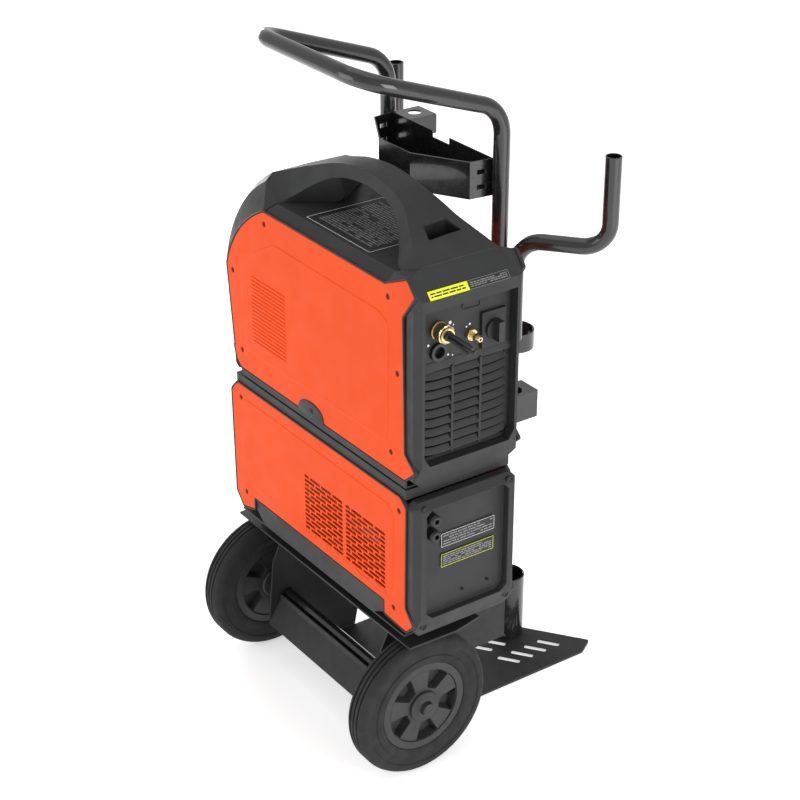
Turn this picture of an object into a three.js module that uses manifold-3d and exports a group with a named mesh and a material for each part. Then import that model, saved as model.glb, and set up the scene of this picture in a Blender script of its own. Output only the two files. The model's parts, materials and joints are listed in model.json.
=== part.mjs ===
// Plasma cutting power source standing on its coolant unit, both carried by a two-wheel trolley.
// Millimetres. +X is the rear of both machines (grille, mains and gas), -Y is the side that the
// trolley is pushed from, +Y carries the gas bottle, +Z is up and the wheels stand on Z = 0.
import * as THREE from 'three';
import { mergeVertices } from 'three/addons/utils/BufferGeometryUtils.js';
import Module from 'manifold-3d';

const wasm = await Module();
wasm.setup();

// ---------- driving dimensions ----------
const fit = 0.3;                                   // clearance between pieces that touch
const wheel = { radius: 125, rim: 80, width: 46, x: 227, bore: 10.3, windows: 5, firstWindow: -11 };
const depth = 582;                                 // front of the wheels to the end of the toe plate
const axle = { y: wheel.radius - depth / 2, z: wheel.radius, radius: 10, reach: 262 };
const tube = { radius: 13, wall: 2, sides: 14, bend: 56 };
const upright = { x: 149, y: 42, foot: 150, bendZ: 1065 };
const crossbar = { y: -209, z: 1153 };
const hook = { x: 280, y: 150, top: 1007, run: 858, legX: 169.2, legY: 59.1, foot: 690, bend: 42 };
const tray = {
  rim: 983, deep: 60, sheet: 2, back: 40, front: -50.5, frontX: 42, cornerX: 128, endX: 133,
  notch: { half: 22, deep: 11 }, slots: [14, 38], slotHigh: 7,
};
const toe = {
  half: 144, end: depth / 2, tip: 125, notch: 200, thick: 6,
  slot: { long: 40, wide: 9, lean: 36, pitch: 30 },
};
const cup = { x: 14, y: 187, radius: 30, wall: 2.5, height: 123 };
const ring = { radius: 33, wall: 2.5, z: 582, height: 32 };
const guide = { low: 446, top: 497, front: 152, back: 223, half: 23, hole: 16, sheet: 3 };
const shelf = { z: 254, thick: 4 };
const side = { x: 163, thick: 4 };                 // inner face of the trolley's side plates
const body = { y: -111, half: 100, panel: 2 };     // both machines: mid plane, half width, sheet
const rearFace = 284;                              // X of both rear mouldings' faces
const cooler = { low: 277, high: 544, lip: 526.5 };
const ports = { y: -64, supply: 494, return: 467 };
const filler = { y: -10, z: 412 };
const fitting = {                                  // Y and Z of what is on the rear panel
  gland: { y: -49, z: 802 },
  gas: { y: 9.5, z: 780 },
  signal: { y: -49, z: 767 },
  isolator: { y: 50, z: 781 },
};
const power = { low: 546, brow: 868, deck: 884 };
const display = { half: 36, low: 730, high: 790 };
const outputs = { y: 40, z: 645 };
const dial = { z: 700 };
const fanBay = { z: 680, half: 78, bore: 70 };
const coolerFanBay = { z: 420, half: 75, bore: 68 };

// ---------- colours ----------
const finishes = {
  orange: { color: 0xff5a28, roughness: 0.45, metalness: 0 },
  plastic: { color: 0x3c3d3f, roughness: 0.6, metalness: 0 },
  black: { color: 0x17181a, roughness: 0.4, metalness: 0.1 },
  steel: { color: 0x9a9da1, roughness: 0.4, metalness: 0.9 },
  brass: { color: 0xc9a14a, roughness: 0.3, metalness: 0.9 },
  rubber: { color: 0x2a2a2b, roughness: 0.85, metalness: 0 },
  grey: { color: 0x55575a, roughness: 0.6, metalness: 0 },
  green: { color: 0x1d5c38, roughness: 0.6, metalness: 0 },
  clear: { color: 0x20262c, roughness: 0.1, metalness: 0 },
  tank: { color: 0xe4e6e2, roughness: 0.4, metalness: 0 },
};

// ---------- solids ----------
function solid(geometry) {
  const bare = geometry.clone();
  bare.deleteAttribute('normal');
  bare.deleteAttribute('uv');
  const merged = mergeVertices(bare, 1e-4);
  return new wasm.Manifold(new wasm.Mesh({
    numProp: 3,
    vertProperties: new Float32Array(merged.attributes.position.array),
    triVerts: new Uint32Array(merged.index.array),
  }));
}

function shell(manifold) {
  const mesh = manifold.getMesh();
  const geometry = new THREE.BufferGeometry();
  geometry.setAttribute('position', new THREE.BufferAttribute(mesh.vertProperties, 3));
  geometry.setIndex(new THREE.BufferAttribute(mesh.triVerts, 1));
  geometry.computeVertexNormals();
  return geometry;
}

const cut = (blank, ...tools) => shell(tools.reduce((s, t) => s.subtract(solid(t)), solid(blank)));
const join = (first, ...more) => shell(more.reduce((s, m) => s.add(solid(m)), solid(first)));
const common = (a, b) => shell(solid(a).intersect(solid(b)));

function outline(points) {
  return new THREE.Shape(points.map(([u, v]) => new THREE.Vector2(u, v)));
}

// Prisms of an outline drawn in the plane named first, between two stations along the third axis.
function prismXY(points, z0, z1) {
  const flat = { depth: z1 - z0, bevelEnabled: false };
  return new THREE.ExtrudeGeometry(outline(points), flat).translate(0, 0, z0);
}

function prismXZ(points, y0, y1) {
  const flat = { depth: y1 - y0, bevelEnabled: false };
  return new THREE.ExtrudeGeometry(outline(points), flat).rotateX(Math.PI / 2).translate(0, y1, 0);
}

function prismYZ(points, x0, x1) {
  const flat = { depth: x1 - x0, bevelEnabled: false };
  const geometry = new THREE.ExtrudeGeometry(outline(points), flat);
  return geometry.rotateX(Math.PI / 2).rotateZ(Math.PI / 2).translate(x0, 0, 0);
}

function box(x0, x1, y0, y1, z0, z1) {
  const geometry = new THREE.BoxGeometry(x1 - x0, y1 - y0, z1 - z0);
  return geometry.translate((x0 + x1) / 2, (y0 + y1) / 2, (z0 + z1) / 2);
}

function rodX(radius, x0, x1, y, z, sides = 24) {
  const geometry = new THREE.CylinderGeometry(radius, radius, x1 - x0, sides);
  return geometry.rotateZ(-Math.PI / 2).translate((x0 + x1) / 2, y, z);
}

function rodZ(radius, z0, z1, x, y, sides = 24) {
  const geometry = new THREE.CylinderGeometry(radius, radius, z1 - z0, sides);
  return geometry.rotateX(Math.PI / 2).translate(x, y, (z0 + z1) / 2);
}

// A body of revolution about an axis parallel to X: profile pairs are radius and place along X.
function turnedX(profile, y, z, sides) {
  const points = profile.map(([radius, along]) => new THREE.Vector2(radius, along));
  if (THREE.ShapeUtils.area(points) < 0) points.reverse();
  return new THREE.LatheGeometry(points, sides).rotateZ(-Math.PI / 2).translate(0, y, z);
}

// A path of straight runs and round bends, sampled only where it turns.
class BentPath extends THREE.Curve {
  constructor(corners, radius, stepsPerBend) {
    super();
    const at = corners.map((corner) => new THREE.Vector3(...corner));
    this.stations = [at[0]];
    for (let i = 1; i < at.length - 1; i += 1) {
      const into = at[i].clone().sub(at[i - 1]).normalize();
      const away = at[i + 1].clone().sub(at[i]).normalize();
      const turn = into.angleTo(away);
      const start = at[i].clone().addScaledVector(into, -radius * Math.tan(turn / 2));
      const inward = away.clone().addScaledVector(into, -away.dot(into)).normalize();
      for (let k = 0; k <= stepsPerBend; k += 1) {
        const angle = (turn * k) / stepsPerBend;
        const point = start.clone().addScaledVector(into, radius * Math.sin(angle));
        this.stations.push(point.addScaledVector(inward, radius * (1 - Math.cos(angle))));
      }
    }
    this.stations.push(at[at.length - 1]);
  }

  getUtoTmapping(u) {
    return u;
  }

  getPoint(t, target = new THREE.Vector3()) {
    const place = t * (this.stations.length - 1);
    const i = Math.min(Math.floor(place), this.stations.length - 2);
    return target.copy(this.stations[i]).lerp(this.stations[i + 1], place - i);
  }
}

function bentTube(corners, bendRadius, stepsPerBend, radius, wall, sides) {
  const path = new BentPath(corners, bendRadius, stepsPerBend);
  const circle = (r) => Array.from({ length: sides }, (_, i) => {
    const angle = (2 * Math.PI * i) / sides;
    return new THREE.Vector2(r * Math.cos(angle), r * Math.sin(angle));
  });
  const section = new THREE.Shape(circle(radius));
  if (wall > 0) section.holes.push(new THREE.Path(circle(radius - wall).reverse()));
  const steps = path.stations.length - 1;
  return new THREE.ExtrudeGeometry(section, { steps, extrudePath: path, bevelEnabled: false });
}

// ---------- the assembly ----------
const unit = new THREE.Group();

function add(name, geometry, finish, parent = unit) {
  const mesh = new THREE.Mesh(geometry, new THREE.MeshStandardMaterial(finishes[finish]));
  mesh.name = name;
  parent.add(mesh);
  return mesh;
}

const mirrorX = (points) => points.map(([u, v]) => [-u, v]).reverse();
const bothEnds = [['right', 1], ['left', -1]];     // right is the machines' rear end, +X

// ---------- trolley ----------
function handleFrame() {
  const { x, y, foot, bendZ } = upright;
  const half = [[x, y, foot], [x, y, bendZ], [x, crossbar.y, crossbar.z]];
  const corners = [...half, ...half.map(([u, v, w]) => [-u, v, w]).reverse()];
  return bentTube(corners, tube.bend, 5, tube.radius, tube.wall, tube.sides);
}

function hookTube(end) {
  const corners = [
    [end * hook.x, hook.y, hook.top],
    [end * hook.x, hook.y, hook.run],
    [end * hook.legX, hook.legY, hook.run],
    [end * hook.legX, hook.legY, hook.foot],
  ];
  return bentTube(corners, hook.bend, 5, tube.radius, tube.wall, tube.sides);
}

function accessoryTray() {
  const half = [[tray.endX, tray.back], [tray.cornerX, -1], [tray.frontX, tray.front]];
  const plan = [...mirrorX(half), ...half].reverse();
  const inset = tray.sheet;
  const inner = plan.map(([u, v]) => [u - inset * Math.sign(u), v > 0 ? v - inset : v + inset]);
  const floor = tray.rim - tray.deep;
  const { notch, slots, slotHigh } = tray;
  const tools = [
    prismXY(inner, floor + inset, tray.rim + 1),
    box(-notch.half, notch.half, 30, 50, tray.rim - notch.deep, tray.rim + 1),
  ];
  for (const rise of slots) {
    const z = floor + rise;
    tools.push(box(-140, 140, 12, 26, z, z + slotHigh));
  }
  return cut(prismXY(plan, floor, tray.rim), ...tools);
}

// Angle at the tray's end: a flat seat with a hole for the torch, and a leg down the tray's back.
function torchBracket() {
  const top = 982;
  const sheet = 3;
  const plate = box(-134, -84, 41, 92, top - sheet, top);
  const leg = box(-87, -84, 41, 92, 950, top);
  return cut(join(plate, leg), rodZ(11, top - 12, top + 8, -112, 68, 20));
}

function crossPlate() {
  const reach = upright.x - tube.radius - fit;
  return box(-reach, reach, upright.y - 2, upright.y + 2, 430, 640);
}

// Band round the rods on a flat arm from the cross plate.
function rodRing() {
  const { x, y } = cup;
  const top = ring.z + ring.height;
  const arm = box(x - 9, x + 9, upright.y + 2 + fit, y - ring.radius + 2, ring.z + 8, top - 8);
  const band = join(rodZ(ring.radius, ring.z, top, x, y, 28), arm);
  return cut(band, rodZ(ring.radius - ring.wall, ring.z - 1, top + 1, x, y, 28));
}

// Open cup on the toe plate that the rods stand in.
function rodCup() {
  const { x, y, radius, wall, height } = cup;
  const floor = toe.thick + fit;
  const blank = rodZ(radius, floor, floor + height, x, y, 28);
  return cut(blank, rodZ(radius - wall, floor + wall, floor + height + 1, x, y, 28));
}

// Folded box half way up, open below, with a hole in its top for the rods, on its own arm.
function rodGuide() {
  const { x, y } = cup;
  const { low, top, front, back, half, hole, sheet } = guide;
  const blank = box(x - half, x + half, front, back, low, top);
  const arm = box(x - 12, x + 12, upright.y + 2 + fit, front + 1, low + 12, top - 12);
  const inner = half - sheet;
  const hollow = box(x - inner, x + inner, front + sheet, back - sheet, low - 1, top - sheet);
  return cut(join(blank, arm), hollow, rodZ(hole, low, top + 1, x, y, 24));
}

// Foot plate under the gas bottle, with leaning slots in two rows and a notch in its far edge.
function toePlate() {
  const half = [[side.x - 1, -60], [side.x - 1, 10], [toe.half, 23], [toe.half, 260], [toe.tip, toe.end]];
  const plan = [[0, toe.notch], ...mirrorX(half), ...half];
  const { long, wide, pitch } = toe.slot;
  const lean = THREE.MathUtils.degToRad(toe.slot.lean);
  const rows = [{ x: 90, y: 134.5, count: 4 }, { x: 33, y: 116.5, count: 2 }];
  const tools = [];
  for (const row of rows) {
    for (let i = 0; i < row.count; i += 1) {
      for (const end of [1, -1]) {
        const slot = box(-long / 2, long / 2, -wide / 2, wide / 2, -1, toe.thick + 1);
        tools.push(slot.rotateZ(end * lean).translate(end * row.x, row.y + pitch * i, 0));
      }
    }
  }
  return cut(prismXY(plan, 0, toe.thick), ...tools);
}

function sidePlate(end) {
  const profile = [
    [-206, 84], [-150, 50], [-60, toe.thick + fit], [-25, toe.thick + fit], [0, 128],
    [60, 128], [60, 200], [28, shelf.z - fit], [-169, shelf.z - fit], [-195, 197],
  ];
  const near = end > 0 ? side.x : -side.x - side.thick;
  const blank = prismYZ(profile, near, near + side.thick);
  return cut(blank, rodX(axle.radius + fit, near - 1, near + side.thick + 1, axle.y, axle.z));
}

// Folded sheet in front of the axle: a sloped face with a short upright lip and a floor flange.
function axleBeam() {
  const profile = [
    [-140, 80], [-204, 80], [-181, 118], [-181, 130],
    [-184, 130], [-184, 119], [-209, 77], [-140, 77],
  ];
  const reach = side.x - fit;
  return prismYZ(profile, -reach, reach);
}

function shelfPlate() {
  const half = [[258, -203], [260, -112], [248, -58], [160, -58], [138, 26]];
  const plan = [...mirrorX(half), ...half].reverse();
  return prismXY(plan.reverse(), shelf.z, shelf.z + shelf.thick);
}

function tyre(x) {
  const half = wheel.width / 2;
  const r = wheel.radius;
  const flank = [
    [wheel.rim, half - 3], [wheel.rim + 10, half], [r - 14, half], [r - 4, half - 4], [r, half - 11],
  ];
  const profile = [...flank.map(([u, v]) => [u, -v]), ...flank.reverse(), [wheel.rim, 3 - half]];
  return turnedX(profile, axle.y, axle.z, 40).translate(x, 0, 0);
}

function rim(x) {
  const outer = wheel.rim - fit;
  const barrel = { inner: 66, half: 19 };
  const hub = { radius: 28, half: 24 };
  const web = 6;                                   // half thickness of the disc between them
  const floor = 1.5;                               // and of the floor that its blind windows leave
  const halfProfile = [
    [wheel.bore, hub.half], [hub.radius, hub.half], [hub.radius, web],
    [barrel.inner, web], [barrel.inner, barrel.half], [outer, barrel.half],
  ];
  const below = halfProfile.map(([u, v]) => [u, -v]);
  const profile = [...below, ...[...halfProfile].reverse(), below[0]];
  const disc = turnedX(profile, 0, 0, 40);
  const tools = [];
  for (let i = 0; i < wheel.windows; i += 1) {
    const angle = (360 / wheel.windows) * i + wheel.firstWindow;
    for (const [from, to] of [[floor, 30], [-30, -floor]]) {
      const window = prismYZ([[36, -13], [62, -23], [62, 23], [36, 13]], from, to);
      tools.push(window.rotateX(THREE.MathUtils.degToRad(angle)));
    }
  }
  return cut(disc, ...tools).translate(x, axle.y, axle.z);
}

function addTrolley() {
  add('handle_frame', handleFrame(), 'black');
  add('shelf', shelfPlate(), 'black');
  add('axle_beam', axleBeam(), 'black');
  add('toe_plate', toePlate(), 'black');
  add('cross_plate', crossPlate(), 'black');
  add('rod_cup', rodCup(), 'black');
  add('rod_ring', rodRing(), 'black');
  add('rod_guide', rodGuide(), 'black');
  add('accessory_tray', accessoryTray(), 'black');
  add('torch_bracket', torchBracket(), 'black');
  add('axle', rodX(axle.radius, -axle.reach, axle.reach, axle.y, axle.z), 'steel');
  for (const [name, end] of bothEnds) {
    add(`side_plate_${name}`, sidePlate(end), 'black');
    add(`cable_hook_${name}`, hookTube(end), 'black');
    add(`tyre_${name}`, tyre(end * wheel.x), 'rubber');
    add(`rim_${name}`, rim(end * wheel.x), 'grey');
  }
}

// ---------- machines, drawn about their own mid plane ----------
const machines = new THREE.Group();
machines.position.y = body.y;
unit.add(machines);

function sidePanel(points, end) {
  const inner = body.half - body.panel;
  return end > 0 ? prismXZ(points, inner, body.half) : prismXZ(points, -body.half, -inner);
}

// A fan rotor on an axis along X: a hub with flat raked blades.
function rotor(x, z, radius, blades) {
  const rake = 0.6;
  const hubHalf = 9;
  const hub = rodX(radius * 0.3, x - hubHalf, x + hubHalf, 0, z, 20);
  const parts = [];
  for (let i = 0; i < blades; i += 1) {
    const blade = box(-1, 1, -radius * 0.2, radius * 0.2, radius * 0.25, radius);
    blade.rotateZ(rake).rotateX((2 * Math.PI * i) / blades);
    parts.push(blade.translate(x, 0, z));
  }
  return join(hub, ...parts);
}

// Square fan housing with a round duct, and a crossed spider that carries the motor's boss.
function fanFrame(x0, x1, z, half, bore) {
  const square = box(x0, x1, -half, half, z - half, z + half);
  const duct = cut(square, rodX(bore, x0 - 1, x1 + 1, 0, z, 28));
  const spider = [];
  for (const angle of [Math.PI / 4, -Math.PI / 4]) {
    spider.push(box(0, 4, -bore - 4, bore + 4, -4, 4).rotateX(angle).translate(x0, 0, z));
  }
  return join(duct, ...spider, rodX(20, x0, x0 + 6, 0, z, 20));
}

// ---------- coolant unit ----------
const coolerPanel = [
  [-234, 526], [-252, 507], [-248, 311], [-227, 288], [-192, 299], [-192, 321],
  [200, 321], [200, 297], [259, 293], [276, 310], [255, 335], [257, 514], [242, 526],
];

// Floor of the coolant unit with a skirt up each side below the sheets.
function coolerBase() {
  const skirt = [
    [-191, 299], [-164, cooler.low], [161, cooler.low], [199, 297], [199, 320], [-191, 320],
  ];
  const wall = body.half - 3;
  const sheet = 3;
  const floor = box(-236, 250, -wall, wall, cooler.low, cooler.low + sheet);
  return join(floor, prismXZ(skirt, -wall, sheet - wall), prismXZ(skirt, wall - sheet, wall));
}

// Shallow lid, open below, that the power source stands on.
function coolerTop() {
  const wall = body.half - 2;
  const sheet = 3;
  const blank = box(-238, 256, -wall, wall, cooler.lip + 0.5, cooler.high);
  const hollow = box(-238 + sheet, 256 - sheet, sheet - wall, wall - sheet, cooler.lip, cooler.high - sheet);
  return cut(blank, hollow);
}

// Plan of an end moulding: its upright corners are chamfered behind the side sheets.
const endPlan = [
  [150, -97.5], [273, -97.5], [rearFace, -89], [rearFace, 89], [273, 97.5], [150, 97.5],
];

// End moulding of the coolant unit: a frame with a recessed panel; end +1 is the rear.
function coolerEnd(end) {
  const wall = body.half - 2.5;
  const face = [
    [-wall, 300], [-wall + 14, 284], [wall - 14, 284], [wall, 300],
    [wall, 514], [wall - 10, cooler.lip], [-wall + 10, cooler.lip], [-wall, 514],
  ];
  const profile = [
    [258, cooler.lip], [272, cooler.lip], [rearFace, 512], [rearFace, 322],
    [270, 284], [262, 284], [258, 340],
  ];
  const band = common(prismYZ(face, 200, 300), prismXZ(profile, -120, 120));
  const blank = common(band, prismXY(endPlan, 200, 600));
  const recess = [
    [-78, 330], [-66, 318], [66, 318], [78, 330], [78, 504], [68, 513], [-68, 513], [-78, 504],
  ];
  const tools = [prismYZ(recess, 270, 300), box(250, 266, -74, 74, 325, 505)];
  if (end > 0) {
    for (const z of [ports.supply, ports.return]) {
      tools.push(rodX(7, 250, 290, ports.y, z, 16));
    }
  } else {
    tools.push(box(250, 290, -30, 50, 360, 470));
  }
  const moulding = cut(blank, ...tools);
  const frontShift = 32;                           // the front moulding's face lies 32 mm nearer
  return end > 0 ? moulding : moulding.rotateZ(Math.PI).translate(frontShift, 0, 0);
}

// Blow-moulded tank with its filler neck forwards through the front moulding.
function coolantTank() {
  const wall = 3;
  const blank = box(-190, -70, -80, 80, 284, 430);
  const hollow = box(-190 + wall, -70 - wall, wall - 80, 80 - wall, 284 + wall, 430 - wall);
  const neck = rodX(24, -224, -189, filler.y, filler.z, 24);
  return cut(join(blank, neck), hollow, rodX(20, -226, -180, filler.y, filler.z, 24));
}

// Pump head and its motor on one foot, with the suction stub towards the tank.
function pump() {
  const z = 330;
  const head = rodX(34, -40, 0, 0, z, 24);
  const motor = rodX(38, -1, 90, 0, z, 24);
  const foot = box(-20, 80, -30, 30, 281, 300);
  return join(head, motor, foot, rodX(7, -60, -39, 0, z, 16));
}

function radiator() {
  const blank = box(190, 222, -84, 84, 330, 510);
  const pitch = 14.5;
  const slots = [];
  for (let i = 0; i < 11; i += 1) {
    const z = 342 + pitch * i;
    slots.push(box(189, 223, -74, 74, z, z + 8));
  }
  return cut(blank, ...slots);
}

// Quick coupler: a shank through the moulding, a collar and an open mouth.
function coupler() {
  const shank = 262 + fit;
  const profile = [
    [0, shank], [6.5, shank], [6.5, 272], [10, 272], [10, 286], [8, 290], [4, 290], [4, 268], [0, 268],
  ];
  return turnedX(profile, 0, 0, 20);
}

function addCooler() {
  add('cooler_base', coolerBase(), 'plastic', machines);
  add('cooler_top', coolerTop(), 'plastic', machines);
  add('cooler_rear_frame', coolerEnd(1), 'plastic', machines);
  add('cooler_front_frame', coolerEnd(-1), 'plastic', machines);
  for (const [name, end] of [['bottle_side', 1], ['operator_side', -1]]) {
    add(`cooler_panel_${name}`, sidePanel(coolerPanel, end), 'orange', machines);
  }
  add('coolant_tank', coolantTank(), 'tank', machines);
  const cap = turnedX([[0, -254], [26, -254], [29, -250], [29, -226], [0, -226]], filler.y, filler.z, 24);
  add('filler_cap', cap, 'black', machines);
  add('pump', pump(), 'steel', machines);
  add('radiator', radiator(), 'steel', machines);
  const { z, half, bore } = coolerFanBay;
  add('cooler_fan_frame', fanFrame(150, 175, z, half, bore), 'black', machines);
  add('cooler_fan_blades', rotor(166, z, bore - 4, 7), 'black', machines);
  for (const name of ['supply', 'return']) {
    add(`coolant_coupler_${name}`, coupler().translate(0, ports.y, ports[name]), 'black', machines);
  }
  const footTop = cooler.low - fit;
  const footLow = shelf.z + shelf.thick + fit;
  for (const [name, x] of [['rear', 215], ['front', -215]]) {
    add(`foot_rail_${name}`, box(x - 14, x + 14, -70, 50, footLow, footTop), 'rubber', machines);
  }
}

// ---------- power source ----------
const browArc = new THREE.QuadraticBezierCurve(
  new THREE.Vector2(-250, 740), new THREE.Vector2(-222, 822), new THREE.Vector2(-131, 867));
const hoodArc = new THREE.QuadraticBezierCurve(
  new THREE.Vector2(-268, 745), new THREE.Vector2(-243, 860), new THREE.Vector2(-147, 914));
const arcPoints = (curve, count) => curve.getPoints(count).map((p) => [p.x, p.y]);

const powerPanel = [
  ...arcPoints(browArc, 6), [207, 867], [259, 890], [278, 869], [248, 829],
  [253, 606], [279, 584], [254, 562], [-218, 562], [-230, 574], [-237, 596],
];

// Cross-section of the hood and of the rear hip: upright sides, then two facets to the top.
function roofSection() {
  const wall = body.half - body.panel - fit;
  const half = [[wall, 540], [wall, power.brow], [84, 893], [66, 925], [28, 980]];
  return [...half, ...mirrorX(half)];
}

// Opening of the front moulding, in Y and Z: its upper corners are cut off.
function frontWindow(gap) {
  const half = [[78 - gap, 600 + gap], [84 - gap, 612], [84 - gap, 780 - gap], [70 - gap, 812 - gap]];
  return [...half, ...mirrorX(half)];
}

// Front moulding: an arched skin from the base up to the foot of the handle.
function frontFrame() {
  const back = -118.5;
  const outer = [
    [-236, power.low], [-250, 596], ...arcPoints(hoodArc, 7), [back, 933], [back, power.deck],
  ];
  const inner = [
    [-126, power.deck], [-126, 906], [-147, 903], [-190, 874], [-228, 820],
    [-252, 745], [-242, 600], [-224, 580], [-224, power.low],
  ];
  const arch = prismXZ([...outer, ...inner].reverse(), -120, 120);
  const skin = common(arch, prismYZ(roofSection(), -300, -100));
  return cut(skin, prismYZ(frontWindow(0), -300, -200));
}

// Hipped fairing that carries the rear end of the handle down to the rear moulding.
function rearHip() {
  const low = power.deck + fit;
  const front = 172.5;
  const profile = [
    [front, low], [211, low], [211, 896], [250, 896], [250, 899], [209.5, 918], [front, 936],
  ];
  const plan = [[172, -30], [251, -70], [251, 70], [172, 30]];
  return common(prismXZ(profile, -80, 80), prismXY(plan, 800, 1000));
}

// Rear moulding: a frame round the grille and a recessed field for the fittings, under the hip.
function rearFrame() {
  const wall = body.half - 2.5;
  const face = [
    [-wall, 566], [-wall + 22, power.low], [wall - 22, power.low], [wall, 566],
    [wall, 861], [71, 898], [-71, 898], [-wall, 861],
  ];
  const profile = [
    [256, power.low], [268, power.low], [rearFace, 590], [rearFace, 861],
    [252, 898], [246, 898], [246, 888], [256, 868],
  ];
  const band = common(prismYZ(face, 150, 300), prismXZ(profile, -120, 120));
  const blank = common(band, prismXY(endPlan, 500, 1000));
  const recess = [[-74, 590], [74, 590], [84, 606], [84, 842], [-84, 842], [-84, 606]];
  const pocket = [[-88, 556], [88, 556], [88, 850], [-88, 850]];
  const grilleHole = box(240, 290, -76, 76, 596, 742);
  const moulding = cut(
    join(blank, rearHip()), prismYZ(recess, 266, 300), prismYZ(pocket, 240, 262), grilleHole);
  const { gland, gas, signal } = fitting;
  const holes = [
    rodX(9.5, 240, 290, gland.y, gland.z, 20),
    rodX(6, 240, 290, gas.y, gas.z, 16),
    rodX(12, 240, 290, signal.y, signal.z, 20),
  ];
  return cut(moulding, ...holes);
}

// Flat deck under the handle with a chamfer down each side to the sheets.
function topDeck() {
  const wall = body.half - body.panel - fit;
  const sheet = 4;
  const section = [
    [-wall, power.brow - sheet], [-wall, power.brow], [-84, power.deck], [84, power.deck],
    [wall, power.brow], [wall, power.brow - sheet], [82, power.deck - sheet], [-82, power.deck - sheet],
  ];
  return prismYZ(section.reverse(), -125.5, 209.5);
}

// Arched bar from the front moulding to the rear hip, with the crown and the belly as curves.
function carryHandle() {
  const crown = new THREE.CatmullRomCurve3(
    [[-118, 0, 932], [-60, 0, 957], [0, 0, 970], [60, 0, 973], [120, 0, 964], [172, 0, 936]]
      .map((p) => new THREE.Vector3(...p)));
  const belly = new THREE.CatmullRomCurve3(
    [[172, 0, 905], [140, 0, 934], [90, 0, 948], [40, 0, 951], [-20, 0, 944], [-70, 0, 927], [-118, 0, 895]]
      .map((p) => new THREE.Vector3(...p)));
  const profile = [...crown.getPoints(12), ...belly.getPoints(12)].map((p) => [p.x, p.z]);
  return prismXZ(profile.reverse(), -25, 25);
}

function basePan() {
  const half = body.half - 3;
  const sheet = 3;
  const pan = [-222, 254];
  const floor = box(...pan, -half, half, power.low, power.low + sheet);
  const walls = [-half, half - sheet].map((y) => box(...pan, y, y + sheet, power.low, 560));
  return join(floor, ...walls);
}

function grille() {
  const blank = box(262.5, 270, -75, 75, 597, 741);
  const pitch = 15.2;
  const slots = [];
  for (let i = 0; i < 9; i += 1) {
    const z = 604 + pitch * i;
    for (const [y0, y1] of [[-70, -28], [-24, 24], [28, 70]]) {
      slots.push(box(260, 272, y0, y1, z, z + 9));
    }
  }
  return cut(blank, ...slots);
}

// The front panel and its controls are drawn upright about X = 0 and then leaned back together.
function inFrontPanel(geometry) {
  const lean = Math.atan2(18, 149);
  const pivot = { x: -248, z: 700 };
  return geometry.translate(0, 0, -pivot.z).rotateY(-lean).translate(pivot.x, 0, pivot.z);
}

function frontPanel() {
  const { half, low, high } = display;
  const tools = [rodX(8, -5, 5, 0, dial.z), box(-5, 5, -half, half, low, high)];
  for (const y of [-outputs.y, outputs.y]) tools.push(rodX(16, -5, 5, y, outputs.z));
  return inFrontPanel(cut(prismYZ(frontWindow(1), -3, 0), ...tools));
}

function displayWindow() {
  const gap = 0.5;
  const { half, low, high } = display;
  return inFrontPanel(box(-2.5, 0, gap - half, half - gap, low + gap, high - gap));
}

function outputSocket(y) {
  const profile = [
    [0, 10], [15.5, 10], [15.5, -4], [21, -4], [21, -12], [16, -26], [9, -26], [9, 4], [0, 4],
  ];
  return inFrontPanel(turnedX(profile, y, outputs.z, 24));
}

function controlKnob() {
  const profile = [[0, 6], [7.5, 6], [7.5, -5], [18, -5], [17, -22], [14, -24], [0, -24]];
  return inFrontPanel(turnedX(profile, 0, dial.z, 24));
}

function isolatorPlate() {
  const { y, z } = fitting.isolator;
  return cut(box(266.3, 272, y - 22, y + 22, z - 29, z + 29), rodX(5, 260, 280, y, z, 12));
}

function signalSocket() {
  const profile = [
    [0, 256], [11.6, 256], [11.6, 266.3], [14.5, 266.3], [14.5, 272], [9, 272], [9, 260], [0, 260],
  ];
  return turnedX(profile, fitting.signal.y, fitting.signal.z, 20);
}

function isolatorKnob() {
  const { y, z } = fitting.isolator;
  const disc = rodX(16, 272.3, 277, y, z, 24);
  return join(disc, box(276, 291, y - 5, y + 5, z - 16, z + 16), rodX(4, 266.5, 273, y, z, 12));
}

function cableGland() {
  const profile = [
    [7.5, 254], [9.2, 254], [9.2, 266.3], [14.5, 266.3], [14.5, 271.5],
    [11, 271.5], [11, 286], [7.5, 286], [7.5, 254],
  ];
  return turnedX(profile, fitting.gland.y, fitting.gland.z, 24);
}

function glandNut() {
  const { y, z } = fitting.gland;
  const hexagon = turnedX([[0, 275], [15.5, 275], [15.5, 288], [12, 292.6], [0, 292.6]], y, z, 6);
  return cut(hexagon, rodX(11.3, 270, 286.3, y, z), rodX(7.6, 280, 300, y, z));
}

// The mains lead: its sheath ends just outside the gland and three cores go on.
function mainsLead() {
  const { y: glandY, z: glandZ } = fitting.gland;
  const sheath = rodX(7.2, 240, 298, glandY, glandZ, 16);
  const spread = 4;
  const cores = [];
  for (const angle of [Math.PI / 2, (7 * Math.PI) / 6, (11 * Math.PI) / 6]) {
    const y = glandY + spread * Math.cos(angle);
    cores.push(rodX(3, 296, 352, y, glandZ + spread * Math.sin(angle), 10));
  }
  return join(sheath, ...cores);
}

function gasInlet() {
  const profile = [
    [2, 250], [5.7, 250], [5.7, 266.3], [9, 266.3], [9, 273], [5, 273], [5, 280],
    [6.5, 281], [5, 286], [6.2, 287], [4, 292.6], [2, 292.6], [2, 250],
  ];
  return turnedX(profile, fitting.gas.y, fitting.gas.z, 20);
}

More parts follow.
